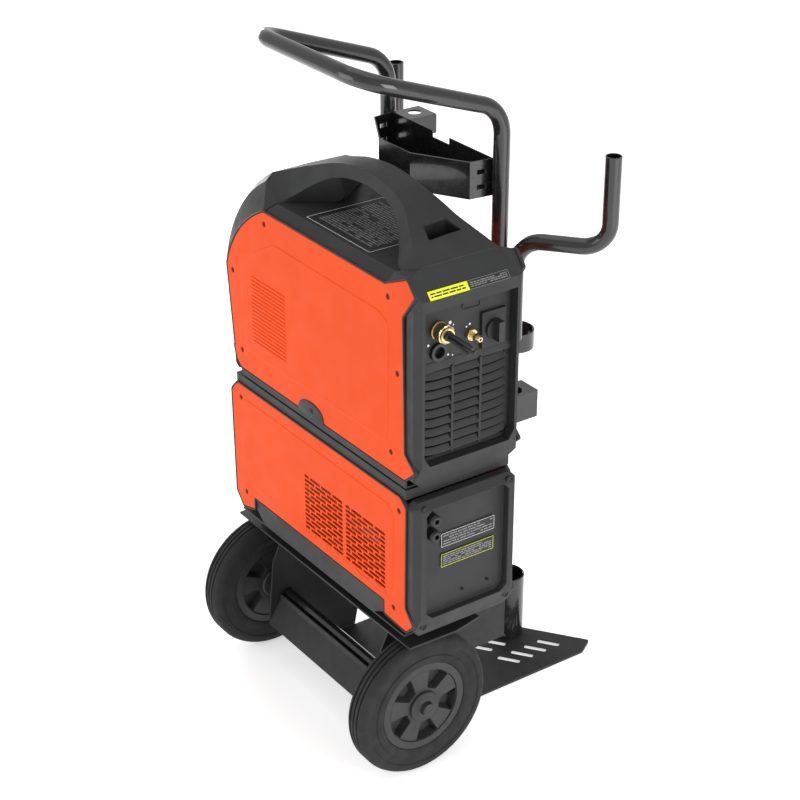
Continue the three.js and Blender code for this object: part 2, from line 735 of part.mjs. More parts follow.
function heatsink() {
  const blank = box(-120, 120, -20, 40, 600, 690);
  const pitch = 9;
  const slots = [];
  for (let i = 0; i < 6; i += 1) {
    const y = pitch * i - 14;
    slots.push(box(-121, 121, y, y + 5, 612, 691));
  }
  return cut(blank, ...slots);
}

function addPowerSource() {
  add('base_pan', basePan(), 'plastic', machines);
  add('front_frame', frontFrame(), 'plastic', machines);
  add('rear_frame', rearFrame(), 'plastic', machines);
  add('top_deck', topDeck(), 'plastic', machines);
  add('carry_handle', carryHandle(), 'plastic', machines);
  for (const [name, end] of [['bottle_side', 1], ['operator_side', -1]]) {
    add(`side_panel_${name}`, sidePanel(powerPanel, end), 'orange', machines);
  }
  add('rear_grille', grille(), 'plastic', machines);
  add('isolator_plate', isolatorPlate(), 'plastic', machines);
  add('isolator_knob', isolatorKnob(), 'black', machines);
  add('cable_gland', cableGland(), 'brass', machines);
  add('gland_nut', glandNut(), 'brass', machines);
  add('mains_lead', mainsLead(), 'rubber', machines);
  add('gas_inlet', gasInlet(), 'brass', machines);
  add('signal_socket', signalSocket(), 'black', machines);
  add('front_panel', frontPanel(), 'plastic', machines);
  add('display_window', displayWindow(), 'clear', machines);
  add('control_knob', controlKnob(), 'black', machines);
  add('torch_socket', outputSocket(-outputs.y), 'brass', machines);
  add('work_socket', outputSocket(outputs.y), 'black', machines);
  add('fan_frame', fanFrame(196, 222, fanBay.z, fanBay.half, fanBay.bore), 'black', machines);
  add('fan_blades', rotor(212, fanBay.z, fanBay.bore - 4, 7), 'black', machines);
  add('heatsink', heatsink(), 'steel', machines);
  add('inverter_board', box(-130, 130, -86, -70, 590, 800), 'green', machines);
  add('transformer', box(-60, 40, 50, 90, 560, 650), 'steel', machines);
}

addTrolley();
addCooler();
addPowerSource();

export default unit;
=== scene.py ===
# Plasma cutting source on its coolant unit, carried by a two-wheel trolley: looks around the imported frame.
# Lengths are in millimetres until a mesh is made, where mm turns them into metres.
import json
from math import cos, pi, radians, sin

import bmesh
import bpy
import numpy as np
from mathutils import Matrix, Vector
from mathutils.geometry import tessellate_polygon

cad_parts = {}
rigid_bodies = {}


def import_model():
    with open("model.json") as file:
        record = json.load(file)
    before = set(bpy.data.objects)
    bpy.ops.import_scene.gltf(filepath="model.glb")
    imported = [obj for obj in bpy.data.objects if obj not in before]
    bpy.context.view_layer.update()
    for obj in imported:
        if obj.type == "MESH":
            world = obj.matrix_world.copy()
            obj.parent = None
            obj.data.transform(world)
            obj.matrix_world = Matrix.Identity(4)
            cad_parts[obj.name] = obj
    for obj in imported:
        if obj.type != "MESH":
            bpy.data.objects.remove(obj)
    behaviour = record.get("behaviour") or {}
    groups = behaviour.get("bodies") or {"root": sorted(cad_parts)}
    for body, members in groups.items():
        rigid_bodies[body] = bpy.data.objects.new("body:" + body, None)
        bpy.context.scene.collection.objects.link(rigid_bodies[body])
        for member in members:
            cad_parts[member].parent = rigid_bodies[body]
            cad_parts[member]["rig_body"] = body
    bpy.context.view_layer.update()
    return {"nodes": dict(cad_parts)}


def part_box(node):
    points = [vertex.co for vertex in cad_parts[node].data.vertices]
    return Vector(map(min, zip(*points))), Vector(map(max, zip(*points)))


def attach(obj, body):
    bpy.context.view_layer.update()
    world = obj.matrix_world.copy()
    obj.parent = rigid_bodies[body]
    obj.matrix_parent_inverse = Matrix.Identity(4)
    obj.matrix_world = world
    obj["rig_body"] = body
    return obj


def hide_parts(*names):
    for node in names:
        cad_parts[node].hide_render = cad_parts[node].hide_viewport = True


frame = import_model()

mm = 0.001


def span(node):
    # Lowest and highest corner of a node, in millimetres.
    low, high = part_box(node)
    return np.array(low) / mm, np.array(high) / mm


# camera, floor and light
studio = {
    "azimuth": 54.8, "elevation": 27.3, "lens": 87.0,
    "eye": (2307.3, -1667.0, 1996.8),
    "floorSize": 12000, "floorColour": (0.93, 0.93, 0.93), "floorGlow": 0.5, "worldLight": 0.62,
    # name: place, power in watts, size, aimed at
    "lamps": {
        "keyLeft": ((-500, -3200, 1100), 31, 2200, (0, -100, 550)),
        "skyTop": ((-200, 300, 3600), 13, 2600, (0, -100, 500)),
        "rearFill": ((3200, 500, 1200), 50, 1900, (0, -100, 600)),
        "frontRim": ((-2900, 500, 800), 34, 1400, (-200, -100, 750)),
    },
}


def placeCamera():
    az, el = radians(studio["azimuth"]), radians(studio["elevation"])
    right = Vector((cos(az), sin(az), 0))
    back = Vector((sin(az) * cos(el), -cos(az) * cos(el), sin(el)))
    up = back.cross(right)
    data = bpy.data.cameras.new("camera")
    data.lens = studio["lens"]
    data.sensor_width = 36
    data.clip_end = 40
    camera = bpy.data.objects.new("camera", data)
    turn = Matrix((right, up, back)).transposed().to_4x4()
    camera.matrix_world = Matrix.Translation(Vector(studio["eye"]) * mm) @ turn
    bpy.context.scene.collection.objects.link(camera)
    bpy.context.scene.camera = camera
    bpy.context.scene.view_settings.view_transform = "Standard"


def placeLamps():
    for name, (place, power, size, target) in studio["lamps"].items():
        data = bpy.data.lights.new(name, "AREA")
        data.energy = power
        data.size = size * mm
        lamp = bpy.data.objects.new(name, data)
        aim = (Vector(target) - Vector(place)).to_track_quat("-Z", "Y")
        lamp.matrix_world = Matrix.Translation(Vector(place) * mm) @ aim.to_matrix().to_4x4()
        bpy.context.scene.collection.objects.link(lamp)
    world = bpy.data.worlds.new("studio")
    world.use_nodes = True
    world.node_tree.nodes["Background"].inputs["Color"].default_value = (1, 1, 1, 1)
    world.node_tree.nodes["Background"].inputs["Strength"].default_value = studio["worldLight"]
    bpy.context.scene.world = world


# materials: one Principled shader each, with grain, broad variation, and specks worked out in object space
class Finish:
    def __init__(self, name, colour, roughness, metallic=0.0, **sockets):
        self.material = bpy.data.materials.new(name)
        self.material.use_nodes = True
        self.nodes = self.material.node_tree.nodes
        self.links = self.material.node_tree.links
        self.shader = self.nodes["Principled BSDF"]
        self.colour = colour
        self.shader.inputs["Base Color"].default_value = (*colour, 1)
        self.shader.inputs["Roughness"].default_value = roughness
        self.shader.inputs["Metallic"].default_value = metallic
        for socket, value in sockets.items():
            self.shader.inputs[socket.replace("_", " ")].default_value = value
        self.place = self.nodes.new("ShaderNodeTexCoord").outputs["Object"]
        self.bump = None

    def scaled(self, stretch):
        mapping = self.nodes.new("ShaderNodeMapping")
        mapping.inputs["Scale"].default_value = stretch
        self.links.new(self.place, mapping.inputs["Vector"])
        return mapping.outputs["Vector"]

    def noise(self, scale, detail=2.0, stretch=None, rough=0.5):
        node = self.nodes.new("ShaderNodeTexNoise")
        node.inputs["Scale"].default_value = scale
        node.inputs["Detail"].default_value = detail
        node.inputs["Roughness"].default_value = rough
        self.links.new(self.scaled(stretch) if stretch else self.place, node.inputs["Vector"])
        return node.outputs["Fac"]

    def ramp(self, value, low, high, fromValue=0.0, toValue=1.0):
        node = self.nodes.new("ShaderNodeMapRange")
        node.inputs["From Min"].default_value = low
        node.inputs["From Max"].default_value = high
        node.inputs["To Min"].default_value = fromValue
        node.inputs["To Max"].default_value = toValue
        self.links.new(value, node.inputs["Value"])
        return node.outputs["Result"]

    def tint(self, factor, other):
        node = self.nodes.new("ShaderNodeMix")
        node.data_type = "RGBA"
        self.links.new(factor, node.inputs["Factor"])
        before = self.shader.inputs["Base Color"]
        if before.links:
            self.links.new(before.links[0].from_socket, node.inputs["A"])
        else:
            node.inputs["A"].default_value = (*self.colour, 1)
        node.inputs["B"].default_value = (*other, 1)
        self.links.new(node.outputs["Result"], before)

    def roughness(self, value):
        self.links.new(value, self.shader.inputs["Roughness"])

    def raised(self, height, distance, strength=1.0):
        node = self.nodes.new("ShaderNodeBump")
        node.inputs["Distance"].default_value = distance * mm
        node.inputs["Strength"].default_value = strength
        self.links.new(height, node.inputs["Height"])
        if self.bump:
            self.links.new(self.bump, node.inputs["Normal"])
        self.bump = node.outputs["Normal"]
        self.links.new(self.bump, self.shader.inputs["Normal"])


def orangeCoat():
    f = Finish("orangeCoat", (0.79, 0.074, 0.0065), 0.45, Specular_IOR_Level=0.12)
    f.tint(f.ramp(f.noise(7, 3), 0.40, 0.66), (0.76, 0.069, 0.0058))     # slow drift in the coat
    f.roughness(f.ramp(f.noise(28, 4), 0.3, 0.7, 0.40, 0.54))
    f.raised(f.noise(420, 2), 0.05, 0.35)                              # orange peel
    f.raised(f.noise(2600, 1), 0.015, 0.3)
    return f.material


def grainedGrey():
    f = Finish("grainedGrey", (0.030, 0.0305, 0.0315), 0.45, Specular_IOR_Level=0.25)
    f.tint(f.ramp(f.noise(9, 3), 0.4, 0.65), (0.034, 0.0345, 0.0355))
    f.roughness(f.ramp(f.noise(35, 3), 0.3, 0.7, 0.42, 0.58))
    f.raised(f.noise(1500, 3, rough=0.65), 0.09, 0.5)                 # spark-eroded grain
    return f.material


def glossBlack():
    f = Finish("glossBlack", (0.011, 0.011, 0.012), 0.2, Coat_Weight=0.6, Coat_Roughness=0.07)
    f.tint(f.ramp(f.noise(14, 3), 0.45, 0.7), (0.016, 0.016, 0.017))
    f.roughness(f.ramp(f.noise(60, 4), 0.35, 0.75, 0.16, 0.34))
    f.raised(f.noise(520, 2), 0.04, 0.3)
    return f.material


def sheetBlack():
    f = Finish("sheetBlack", (0.021, 0.021, 0.022), 0.48, Specular_IOR_Level=0.3)
    f.tint(f.ramp(f.noise(18, 3), 0.4, 0.7), (0.026, 0.026, 0.027))
    f.roughness(f.ramp(f.noise(60, 3), 0.3, 0.7, 0.42, 0.6))
    f.raised(f.noise(700, 3), 0.06, 0.4)                              # powder coat
    return f.material


def satinBlack():
    f = Finish("satinBlack", (0.013, 0.013, 0.014), 0.45)
    f.tint(f.ramp(f.noise(20, 3), 0.4, 0.7), (0.02, 0.02, 0.021))
    f.roughness(f.ramp(f.noise(80, 3), 0.3, 0.7, 0.38, 0.56))
    f.raised(f.noise(1400, 2), 0.05, 0.45)
    return f.material


def tyreRubber():
    f = Finish("tyreRubber", (0.017, 0.017, 0.0175), 0.72, Specular_IOR_Level=0.35)
    f.tint(f.ramp(f.noise(18, 4), 0.5, 0.75), (0.024, 0.0235, 0.0230))   # dust in the pores
    f.roughness(f.ramp(f.noise(45, 3), 0.3, 0.7, 0.66, 0.88))
    f.raised(f.noise(900, 3), 0.12, 0.5)
    f.raised(f.noise(120, 2), 0.15, 0.2)
    return f.material


def rimPlastic():
    f = Finish("rimPlastic", (0.022, 0.0225, 0.0235), 0.5)
    f.tint(f.ramp(f.noise(16, 3), 0.4, 0.7), (0.029, 0.029, 0.030))
    f.roughness(f.ramp(f.noise(50, 3), 0.3, 0.7, 0.42, 0.6))
    f.raised(f.noise(1200, 2), 0.06, 0.4)
    return f.material


def turnedBrass():
    f = Finish("turnedBrass", (0.80, 0.62, 0.33), 0.22, 1.0)
    f.tint(f.ramp(f.noise(90, 3), 0.5, 0.8), (0.66, 0.45, 0.19))       # tarnish in patches
    f.roughness(f.ramp(f.noise(300, 3), 0.3, 0.7, 0.18, 0.36))
    f.raised(f.noise(500, 1, stretch=(8, 1, 1)), 0.01, 0.25)           # tool marks round the X axis
    return f.material


def zincSteel():
    f = Finish("zincSteel", (0.56, 0.57, 0.59), 0.34, 1.0)
    f.tint(f.ramp(f.noise(60, 4), 0.45, 0.7), (0.42, 0.43, 0.46))
    f.roughness(f.ramp(f.noise(240, 3), 0.3, 0.7, 0.26, 0.46))
    f.raised(f.noise(900, 2), 0.015, 0.3)
    return f.material


def bareAlloy():
    f = Finish("bareAlloy", (0.7, 0.71, 0.73), 0.38, 1.0)
    f.tint(f.ramp(f.noise(30, 3), 0.45, 0.7), (0.6, 0.61, 0.63))
    f.roughness(f.ramp(f.noise(200, 3), 0.3, 0.7, 0.3, 0.5))
    f.raised(f.noise(700, 1, stretch=(1, 1, 14)), 0.012, 0.3)
    return f.material


def softRubber():
    f = Finish("softRubber", (0.018, 0.018, 0.018), 0.8)
    f.tint(f.ramp(f.noise(40, 3), 0.45, 0.7), (0.03, 0.03, 0.03))
    f.roughness(f.ramp(f.noise(90, 3), 0.3, 0.7, 0.7, 0.9))
    f.raised(f.noise(1500, 2), 0.06, 0.5)
    return f.material


def coreSheath():
    f = Finish("coreSheath", (0.014, 0.014, 0.015), 0.5)
    f.tint(f.ramp(f.noise(70, 2), 0.4, 0.7), (0.022, 0.022, 0.023))
    f.roughness(f.ramp(f.noise(160, 3), 0.3, 0.7, 0.4, 0.6))
    f.raised(f.noise(1800, 2), 0.03, 0.4)
    return f.material


def darkWindow():
    f = Finish("darkWindow", (0.012, 0.014, 0.018), 0.08, Coat_Weight=1.0, Coat_Roughness=0.03)
    f.tint(f.ramp(f.noise(25, 2), 0.4, 0.7), (0.018, 0.02, 0.025))
    f.roughness(f.ramp(f.noise(150, 4), 0.4, 0.8, 0.06, 0.16))
    f.raised(f.noise(60, 1), 0.01, 0.1)
    return f.material


def greenBoard():
    f = Finish("greenBoard", (0.02, 0.13, 0.055), 0.4)
    copper = f.noise(260, 1, stretch=(1, 1, 3))                       # runs under the mask
    f.tint(f.ramp(copper, 0.52, 0.56), (0.05, 0.2, 0.09))
    f.roughness(f.ramp(f.noise(200, 2), 0.3, 0.7, 0.32, 0.5))
    f.raised(f.noise(400, 1), 0.05, 0.3)
    return f.material


def milkyTank():
    f = Finish("milkyTank", (0.76, 0.78, 0.75), 0.42, Subsurface_Weight=0.3, Subsurface_Scale=0.02)
    f.tint(f.ramp(f.noise(20, 3), 0.4, 0.7), (0.7, 0.72, 0.68))
    f.roughness(f.ramp(f.noise(60, 3), 0.3, 0.7, 0.36, 0.52))
    f.raised(f.noise(300, 2), 0.05, 0.3)
    return f.material


def printInk(name, colour):
    f = Finish(name, colour, 0.55)
    worn = tuple(0.75 * c + 0.02 for c in colour)
    f.tint(f.ramp(f.noise(700, 3), 0.5, 0.72), worn)                   # ink thins out in places
    f.roughness(f.ramp(f.noise(300, 2), 0.3, 0.7, 0.45, 0.65))
    f.raised(f.noise(1800, 1), 0.01, 0.3)
    return f.material


def makeFinishes():
    return {
        "panel_orange": orangeCoat(), "housing_grey": grainedGrey(), "frame_black": glossBlack(),
        "fitting_black": satinBlack(), "sheet": sheetBlack(), "tyre": tyreRubber(), "rim": rimPlastic(),
        "brass": turnedBrass(), "steel": zincSteel(), "alloy": bareAlloy(), "foot_rubber": softRubber(),
        "cable": coreSheath(), "window": darkWindow(), "board": greenBoard(), "tank": milkyTank(),
    }


# surfaces: a part is a pair of points (n, 3) in millimetres and a list of faces
def gridFaces(rows, cols, loopRows, loopCols):
    # Quads between neighbouring rows and columns; a looped direction joins its last line to its first.
    r = np.arange(rows if loopRows else rows - 1)
    c = np.arange(cols if loopCols else cols - 1)
    r, c = np.meshgrid(r, c, indexing="ij")
    below, right = (r + 1) % rows, (c + 1) % cols
    quads = np.stack([r * cols + c, r * cols + right, below * cols + right, below * cols + c], -1)
    return quads.reshape(-1, 4).tolist()


def grid(points, loopRows=False, loopCols=False):
    rows, cols = points.shape[:2]
    return points.reshape(-1, 3), gridFaces(rows, cols, loopRows, loopCols)


def together(*parts):
    points, faces, start = [], [], 0
    for partPoints, partFaces in parts:
        points.append(partPoints)
        faces += [[i + start for i in face] for face in partFaces]
        start += len(partPoints)
    return np.concatenate(points), faces


def shifted(part, offset):
    return part[0] + np.array(offset, float), part[1]


def turned(profile, centre, axis=0, count=64):
    # Profile of (radius, place along the axis) carried round the axis: y = r cos, z = r sin for an X axis.
    profile = np.array(profile, float)
    angle = np.linspace(0, 2 * pi, count, endpoint=False)
    r, along = profile[:, None, 0], profile[:, None, 1] + 0 * angle
    first, second = r * np.cos(angle), r * np.sin(angle)
    points = np.stack([along, first, second] if axis == 0 else [first, second, along], -1)
    closed = np.allclose(profile[0], profile[-1])
    part = grid(points[:-1] if closed else points, loopRows=closed, loopCols=True)
    return shifted(part, centre)


def curveThrough(start, control, end, count):
    # Quadratic Bezier arc from start to end, drawn towards the control point.
    t = np.linspace(0, 1, count)[:, None]
    start, control, end = (np.array(p, float) for p in (start, control, end))
    return (1 - t) ** 2 * start + 2 * t * (1 - t) * control + t ** 2 * end


def rounded(outline, radius, steps=4):
    # Every corner of a closed outline is replaced by an arc that starts and ends radius away from it.
    corners = np.array(outline, float)
    before, after = np.roll(corners, 1, 0) - corners, np.roll(corners, -1, 0) - corners
    lengthB, lengthA = np.linalg.norm(before, axis=1), np.linalg.norm(after, axis=1)
    reach = np.minimum(radius, 0.45 * np.minimum(lengthB, lengthA))[:, None]
    enter = corners + before / lengthB[:, None] * reach
    leave = corners + after / lengthA[:, None] * reach
    t = np.linspace(0, 1, steps)[None, :, None]
    arcs = (1 - t) ** 2 * enter[:, None] + 2 * t * (1 - t) * corners[:, None] + t ** 2 * leave[:, None]
    return arcs.reshape(-1, 2)


def inset(outline, distance):
    # Each point moves along the mitre of its two sides; to the left of travel is inwards on a
    # counter-clockwise outline.
    before = outline - np.roll(outline, 1, 0)
    after = np.roll(outline, -1, 0) - outline
    before = before / np.linalg.norm(before, axis=1)[:, None]
    after = after / np.linalg.norm(after, axis=1)[:, None]
    normalB = np.stack([-before[:, 1], before[:, 0]], -1)
    normalA = np.stack([-after[:, 1], after[:, 0]], -1)
    mitre = normalB + normalA
    mitre = mitre / np.maximum((mitre * normalA).sum(1), 0.5)[:, None]
    return outline + mitre * distance


def anticlockwise(outline):
    x, y = outline[:, 0], outline[:, 1]
    area = (x * np.roll(y, -1) - y * np.roll(x, -1)).sum()
    return outline if area > 0 else outline[::-1]


def rings(outline, steps):
    # A wall: the outline drawn once for each (inset, height) step.
    flat = [inset(outline, d) for d, _ in steps]
    return np.stack([np.column_stack([ring, np.full(len(ring), h)]) for ring, (_, h) in zip(flat, steps)])


def filled(loops):
    # A flat face with holes: the first loop is the outside.
    triangles = tessellate_polygon([[Vector(p) for p in loop] for loop in loops])
    return np.concatenate(loops), [list(t) for t in triangles]


def plate(outline, steps, holes=(), raisedField=None, floors=()):
    # A flat sheet in its own (u, v, height) space. steps are (inset, height) from its back edge to its front;
    # holes go right through with the same rounding; the field is a raised panel inside the front face, and
    # floors are blind pockets as (outline, steps).
    outline = anticlockwise(np.array(outline, float))
    wall = rings(outline, steps)
    parts = [grid(wall, loopCols=True)]
    front, back = [wall[-1]], [wall[0]]
    fieldLoops = None
    if raisedField is not None:
        fieldOutline, fieldSteps = raisedField
        field = rings(anticlockwise(np.array(fieldOutline, float)), fieldSteps)
        parts.append(grid(field, loopCols=True))
        front.append(field[0])
        fieldLoops = [field[-1]]
    for hole, onField in holes:
        hole = anticlockwise(np.array(hole, float))
        lift = raisedField[1][-1][1] - raisedField[1][0][1] if onField else 0
        holeSteps = [(-d, h + (lift if i else 0)) for i, (d, h) in enumerate(steps)]
        holeWall = rings(hole, holeSteps)
        parts.append(grid(holeWall, loopCols=True))
        (fieldLoops if onField else front).append(holeWall[-1])
        back.append(holeWall[0])
    for pocket, pocketSteps in floors:
        pocketWall = rings(anticlockwise(np.array(pocket, float)), pocketSteps)
        parts += [grid(pocketWall, loopCols=True), filled([pocketWall[-1]])]
        front.append(pocketWall[0])
    parts += [filled(front), filled(back)]
    if fieldLoops:
        parts.append(filled(fieldLoops))
    return together(*parts)


def circle(centre, radius, count=20):
    angle = np.linspace(0, 2 * pi, count, endpoint=False)
    return np.stack([centre[0] + radius * np.cos(angle), centre[1] + radius * np.sin(angle)], -1)


def roundEdge(thick, radius, back=0.0):
    # Steps of a plate whose front edge is rounded in three facets.
    bend = np.radians([0, 30, 60, 90])
    steps = [(0.0, back)]
    steps += [(radius * (1 - cos(a)), back + thick - radius + radius * sin(a)) for a in bend]
    return steps


def bentPath(corners, bend, steps=10):
    # Straight runs joined by round bends of one radius.
    corners = [np.array(c, float) for c in corners]
    line = [corners[0]]
    for before, at, after in zip(corners, corners[1:], corners[2:]):
        into = (at - before) / np.linalg.norm(at - before)
        away = (after - at) / np.linalg.norm(after - at)
        turn = np.arccos(np.clip(into @ away, -1, 1))
        inward = away - (away @ into) * into
        inward /= np.linalg.norm(inward)
        angle = np.linspace(0, turn, steps)[:, None]
        start = at - into * bend * np.tan(turn / 2)
        line += list(start + into * bend * np.sin(angle) + inward * bend * (1 - np.cos(angle)))
    line.append(corners[-1])
    return np.array(line)


def carriedFrames(line):
    # Directions along the line and two cross directions that turn with it and do not twist.
    along = np.gradient(line, axis=0)
    along /= np.linalg.norm(along, axis=1)[:, None]
    start = np.cross(along[0], (0.3, 1.0, 0.2))
    sides = [start / np.linalg.norm(start)]
    for direction in along[1:]:
        side = sides[-1] - (sides[-1] @ direction) * direction
        sides.append(side / np.linalg.norm(side))
    sides = np.array(sides)
    return along, sides, np.cross(along, sides)


def tube(line, radius, wall, count=28, lip=0.5):
    # A circle carried along the line, out along the outer wall and back along the bore.
    _, side, up = carriedFrames(line)
    angle = np.linspace(0, 2 * pi, count, endpoint=False)
    around = side[:, None] * np.cos(angle)[None, :, None] + up[:, None] * np.sin(angle)[None, :, None]
    outer = line[:, None] + radius * around
    inner = line[:, None] + (radius - wall) * around
    soft = line[:, None] + (radius - lip) * around
    away0, away1 = line[0] - line[1], line[-1] - line[-2]
    away0, away1 = away0 / np.linalg.norm(away0), away1 / np.linalg.norm(away1)
    outer[0] -= away0 * lip
    outer[-1] -= away1 * lip
    loop = np.concatenate([soft[:1], outer, soft[-1:], inner[::-1]])
    return grid(loop, loopRows=True, loopCols=True)


def capsule(length, width, height, rows=9, cols=10):
    # Half-sunk bar with round ends: a superellipse that is long in u, round in v and height.
    u = np.linspace(-pi / 2, pi / 2, rows)[:, None]
    v = np.linspace(0, 2 * pi, cols, endpoint=False)[None]
    reach = np.sign(np.sin(u)) * np.abs(np.sin(u)) ** 0.35
    swell = np.abs(np.cos(u)) ** 0.45
    return grid(np.stack([length / 2 * reach + 0 * v, width / 2 * swell * np.cos(v),
                          height * swell * np.sin(v)], -1), loopCols=True)


def loft(sections):
    # Closed sections of the same number of points, joined in order, with a flat cap on each end.
    rows, cols = sections.shape[:2]
    points, faces = grid(sections, loopCols=True)
    last = (rows - 1) * cols
    return points, faces + [list(range(cols)), list(range(last, last + cols))]


def easedThrough(stations, steps):
    # Catmull-Rom curve through every rail of the stations at once; the end tangents are one-sided.
    ahead = np.concatenate([stations[1:], stations[-1:]])
    behind = np.concatenate([stations[:1], stations[:-1]])
    tangent = (ahead - behind) / 2
    t = np.linspace(0, 1, steps, endpoint=False)[None, :, None, None]
    a, b = stations[:-1, None], stations[1:, None]
    ta, tb = tangent[:-1, None], tangent[1:, None]
    run = ((2 * t ** 3 - 3 * t ** 2 + 1) * a + (t ** 3 - 2 * t ** 2 + t) * ta
           + (3 * t ** 2 - 2 * t ** 3) * b + (t ** 3 - t ** 2) * tb)
    return np.concatenate([run.reshape(-1, *stations.shape[1:]), stations[-1:]])


def block(xs, ys, zs):
    corners = np.array([[x, y, z] for x in xs for y in ys for z in zs], float)
    return corners, [[0, 1, 3, 2], [4, 6, 7, 5], [0, 4, 5, 1], [2, 3, 7, 6], [0, 2, 6, 4], [1, 5, 7, 3]]


def prism(outline, axis, low, high):
    # An outline in the plane across the axis (X: y, z; Y: x, z; Z: x, y), between two stations along it.
    outline = np.array(outline, float)
    sections = []
    for station in (low, high):
        sections.append(np.insert(outline, axis, station, axis=1))
    return loft(np.array(sections))


def rawObject(part, name="blank"):
    mesh = bpy.data.meshes.new(name)
    mesh.from_pydata((np.asarray(part[0]) * mm).tolist(), [], part[1])
    shape = bmesh.new()
    shape.from_mesh(mesh)
    bmesh.ops.remove_doubles(shape, verts=shape.verts, dist=2e-6)
    bmesh.ops.recalc_face_normals(shape, faces=shape.faces)
    shape.to_mesh(mesh)
    shape.free()
    item = bpy.data.objects.new(name, mesh)
    bpy.context.scene.collection.objects.link(item)
    return item


def carved(part, *cutters):
    # The part with every cutter taken out of it.
    blank = rawObject(part)
    tools = [rawObject(cutter, "cutter") for cutter in cutters]
    for tool in tools:
        cut = blank.modifiers.new("cut", "BOOLEAN")
        cut.operation = "DIFFERENCE"
        cut.solver = "EXACT"
        cut.object = tool
    bpy.context.view_layer.update()
    done = blank.evaluated_get(bpy.context.evaluated_depsgraph_get()).to_mesh()
    points = np.zeros(len(done.vertices) * 3, np.float32)
    done.vertices.foreach_get("co", points)
    faces = [list(face.vertices) for face in done.polygons]
    for item in [blank, *tools]:
        mesh = item.data
        bpy.data.objects.remove(item)
        bpy.data.meshes.remove(mesh)
    return points.reshape(-1, 3).astype(float) / mm, faces


def onMid(part):
    # From the machines' own middle plane into the shared frame.
    return shifted(part, (0, machineMid, 0))


# making objects
finishes = makeFinishes()
operatorFace = float(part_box("side_panel_operator_side")[0][1]) / mm      # outer faces of the side sheets
bottleFace = float(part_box("side_panel_bottle_side")[1][1]) / mm
machineMid = (operatorFace + bottleFace) / 2


def newPiece(name, part, finish, body, nodes=(), sharp=38, weighted=False, soft=0):
    points, faces = part
    mesh = bpy.data.meshes.new(name)
    mesh.from_pydata((np.asarray(points) * mm).tolist(), [], faces)
    shape = bmesh.new()
    shape.from_mesh(mesh)
    bmesh.ops.remove_doubles(shape, verts=shape.verts, dist=2e-6)
    bmesh.ops.dissolve_degenerate(shape, edges=shape.edges, dist=1e-6)
    bmesh.ops.recalc_face_normals(shape, faces=shape.faces)
    shape.to_mesh(mesh)
    shape.free()
    mesh.shade_smooth()
    mesh.set_sharp_from_angle(angle=radians(sharp))
    piece = bpy.data.objects.new(name, mesh)
    bpy.context.scene.collection.objects.link(piece)
    mesh.materials.append(finish if isinstance(finish, bpy.types.Material) else finishes[finish])
    if soft:
        softEdge(piece, soft, 3, sharp)
    if weighted:
        flat = piece.modifiers.new("flatFaces", "WEIGHTED_NORMAL")
        flat.keep_sharp = True
    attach(piece, body)
    if nodes:
        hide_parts(*nodes)
    return piece


def bodyOf(node):
    return frame["nodes"][node]["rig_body"]


def softEdge(piece, width, segments, sharp):
    edge = piece.modifiers.new("softEdge", "BEVEL")
    edge.width = width * mm
    edge.segments = segments
    edge.limit_method = "ANGLE"
    edge.angle_limit = radians(sharp)
    edge.harden_normals = True


def softened(node, name, width, slot, finish=None, segments=2, sharp=32, cutters=()):
    # A merged copy of a node with its flat faces joined and its edges rounded.
    mesh = bpy.data.meshes.new(name)
    shape = bmesh.new()
    shape.from_mesh(frame["nodes"][node].data)
    bmesh.ops.remove_doubles(shape, verts=shape.verts, dist=5e-6)
    bmesh.ops.dissolve_limit(shape, angle_limit=radians(0.6), verts=shape.verts, edges=shape.edges)
    for face in shape.faces:
        face.material_index = 0
    shape.to_mesh(mesh)
    if cutters:
        points = np.array([v.co for v in shape.verts]) / mm
        faces = [[v.index for v in face.verts] for face in shape.faces]
        points, faces = carved((points, faces), *cutters)
        mesh.clear_geometry()
        mesh.from_pydata((points * mm).tolist(), [], faces)
    shape.free()
    mesh.shade_smooth()
    mesh.set_sharp_from_angle(angle=radians(sharp))
    piece = bpy.data.objects.new(name, mesh)
    bpy.context.scene.collection.objects.link(piece)
    mesh.materials.append(finishes[finish or slot])
    softEdge(piece, width, segments, sharp)
    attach(piece, bodyOf(node))
    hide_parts(node)
    return piece


# trolley
trolleyTube = {"radius": 13, "wall": 2, "bend": 56}
uprightLine = {"x": 149, "y": 42, "foot": 150, "bendZ": 1065, "barY": -209, "barZ": 1153}
hookLine = {"x": 280, "y": 150, "top": 1007, "run": 858, "legX": 169.2, "legY": 59.1, "foot": 690, "bend": 42}


def makeTubes():
    u = uprightLine
    half = [(u["x"], u["y"], u["foot"]), (u["x"], u["y"], u["bendZ"]), (u["x"], u["barY"], u["barZ"])]
    corners = half + [(-x, y, z) for x, y, z in reversed(half)]
    line = bentPath(corners, trolleyTube["bend"])
    newPiece("handleTube", tube(line, trolleyTube["radius"], trolleyTube["wall"]), "frame_black",
             "trolley", ["handle_frame"])
    h = hookLine
    for side, end in (("right", 1), ("left", -1)):
        corners = [(end * h["x"], h["y"], h["top"]), (end * h["x"], h["y"], h["run"]),
                   (end * h["legX"], h["legY"], h["run"]), (end * h["legX"], h["legY"], h["foot"])]
        line = bentPath(corners, h["bend"])
        newPiece(f"cableHook.{side}", tube(line, trolleyTube["radius"], trolleyTube["wall"]),
                 "frame_black", "trolley", [f"cable_hook_{side}"])


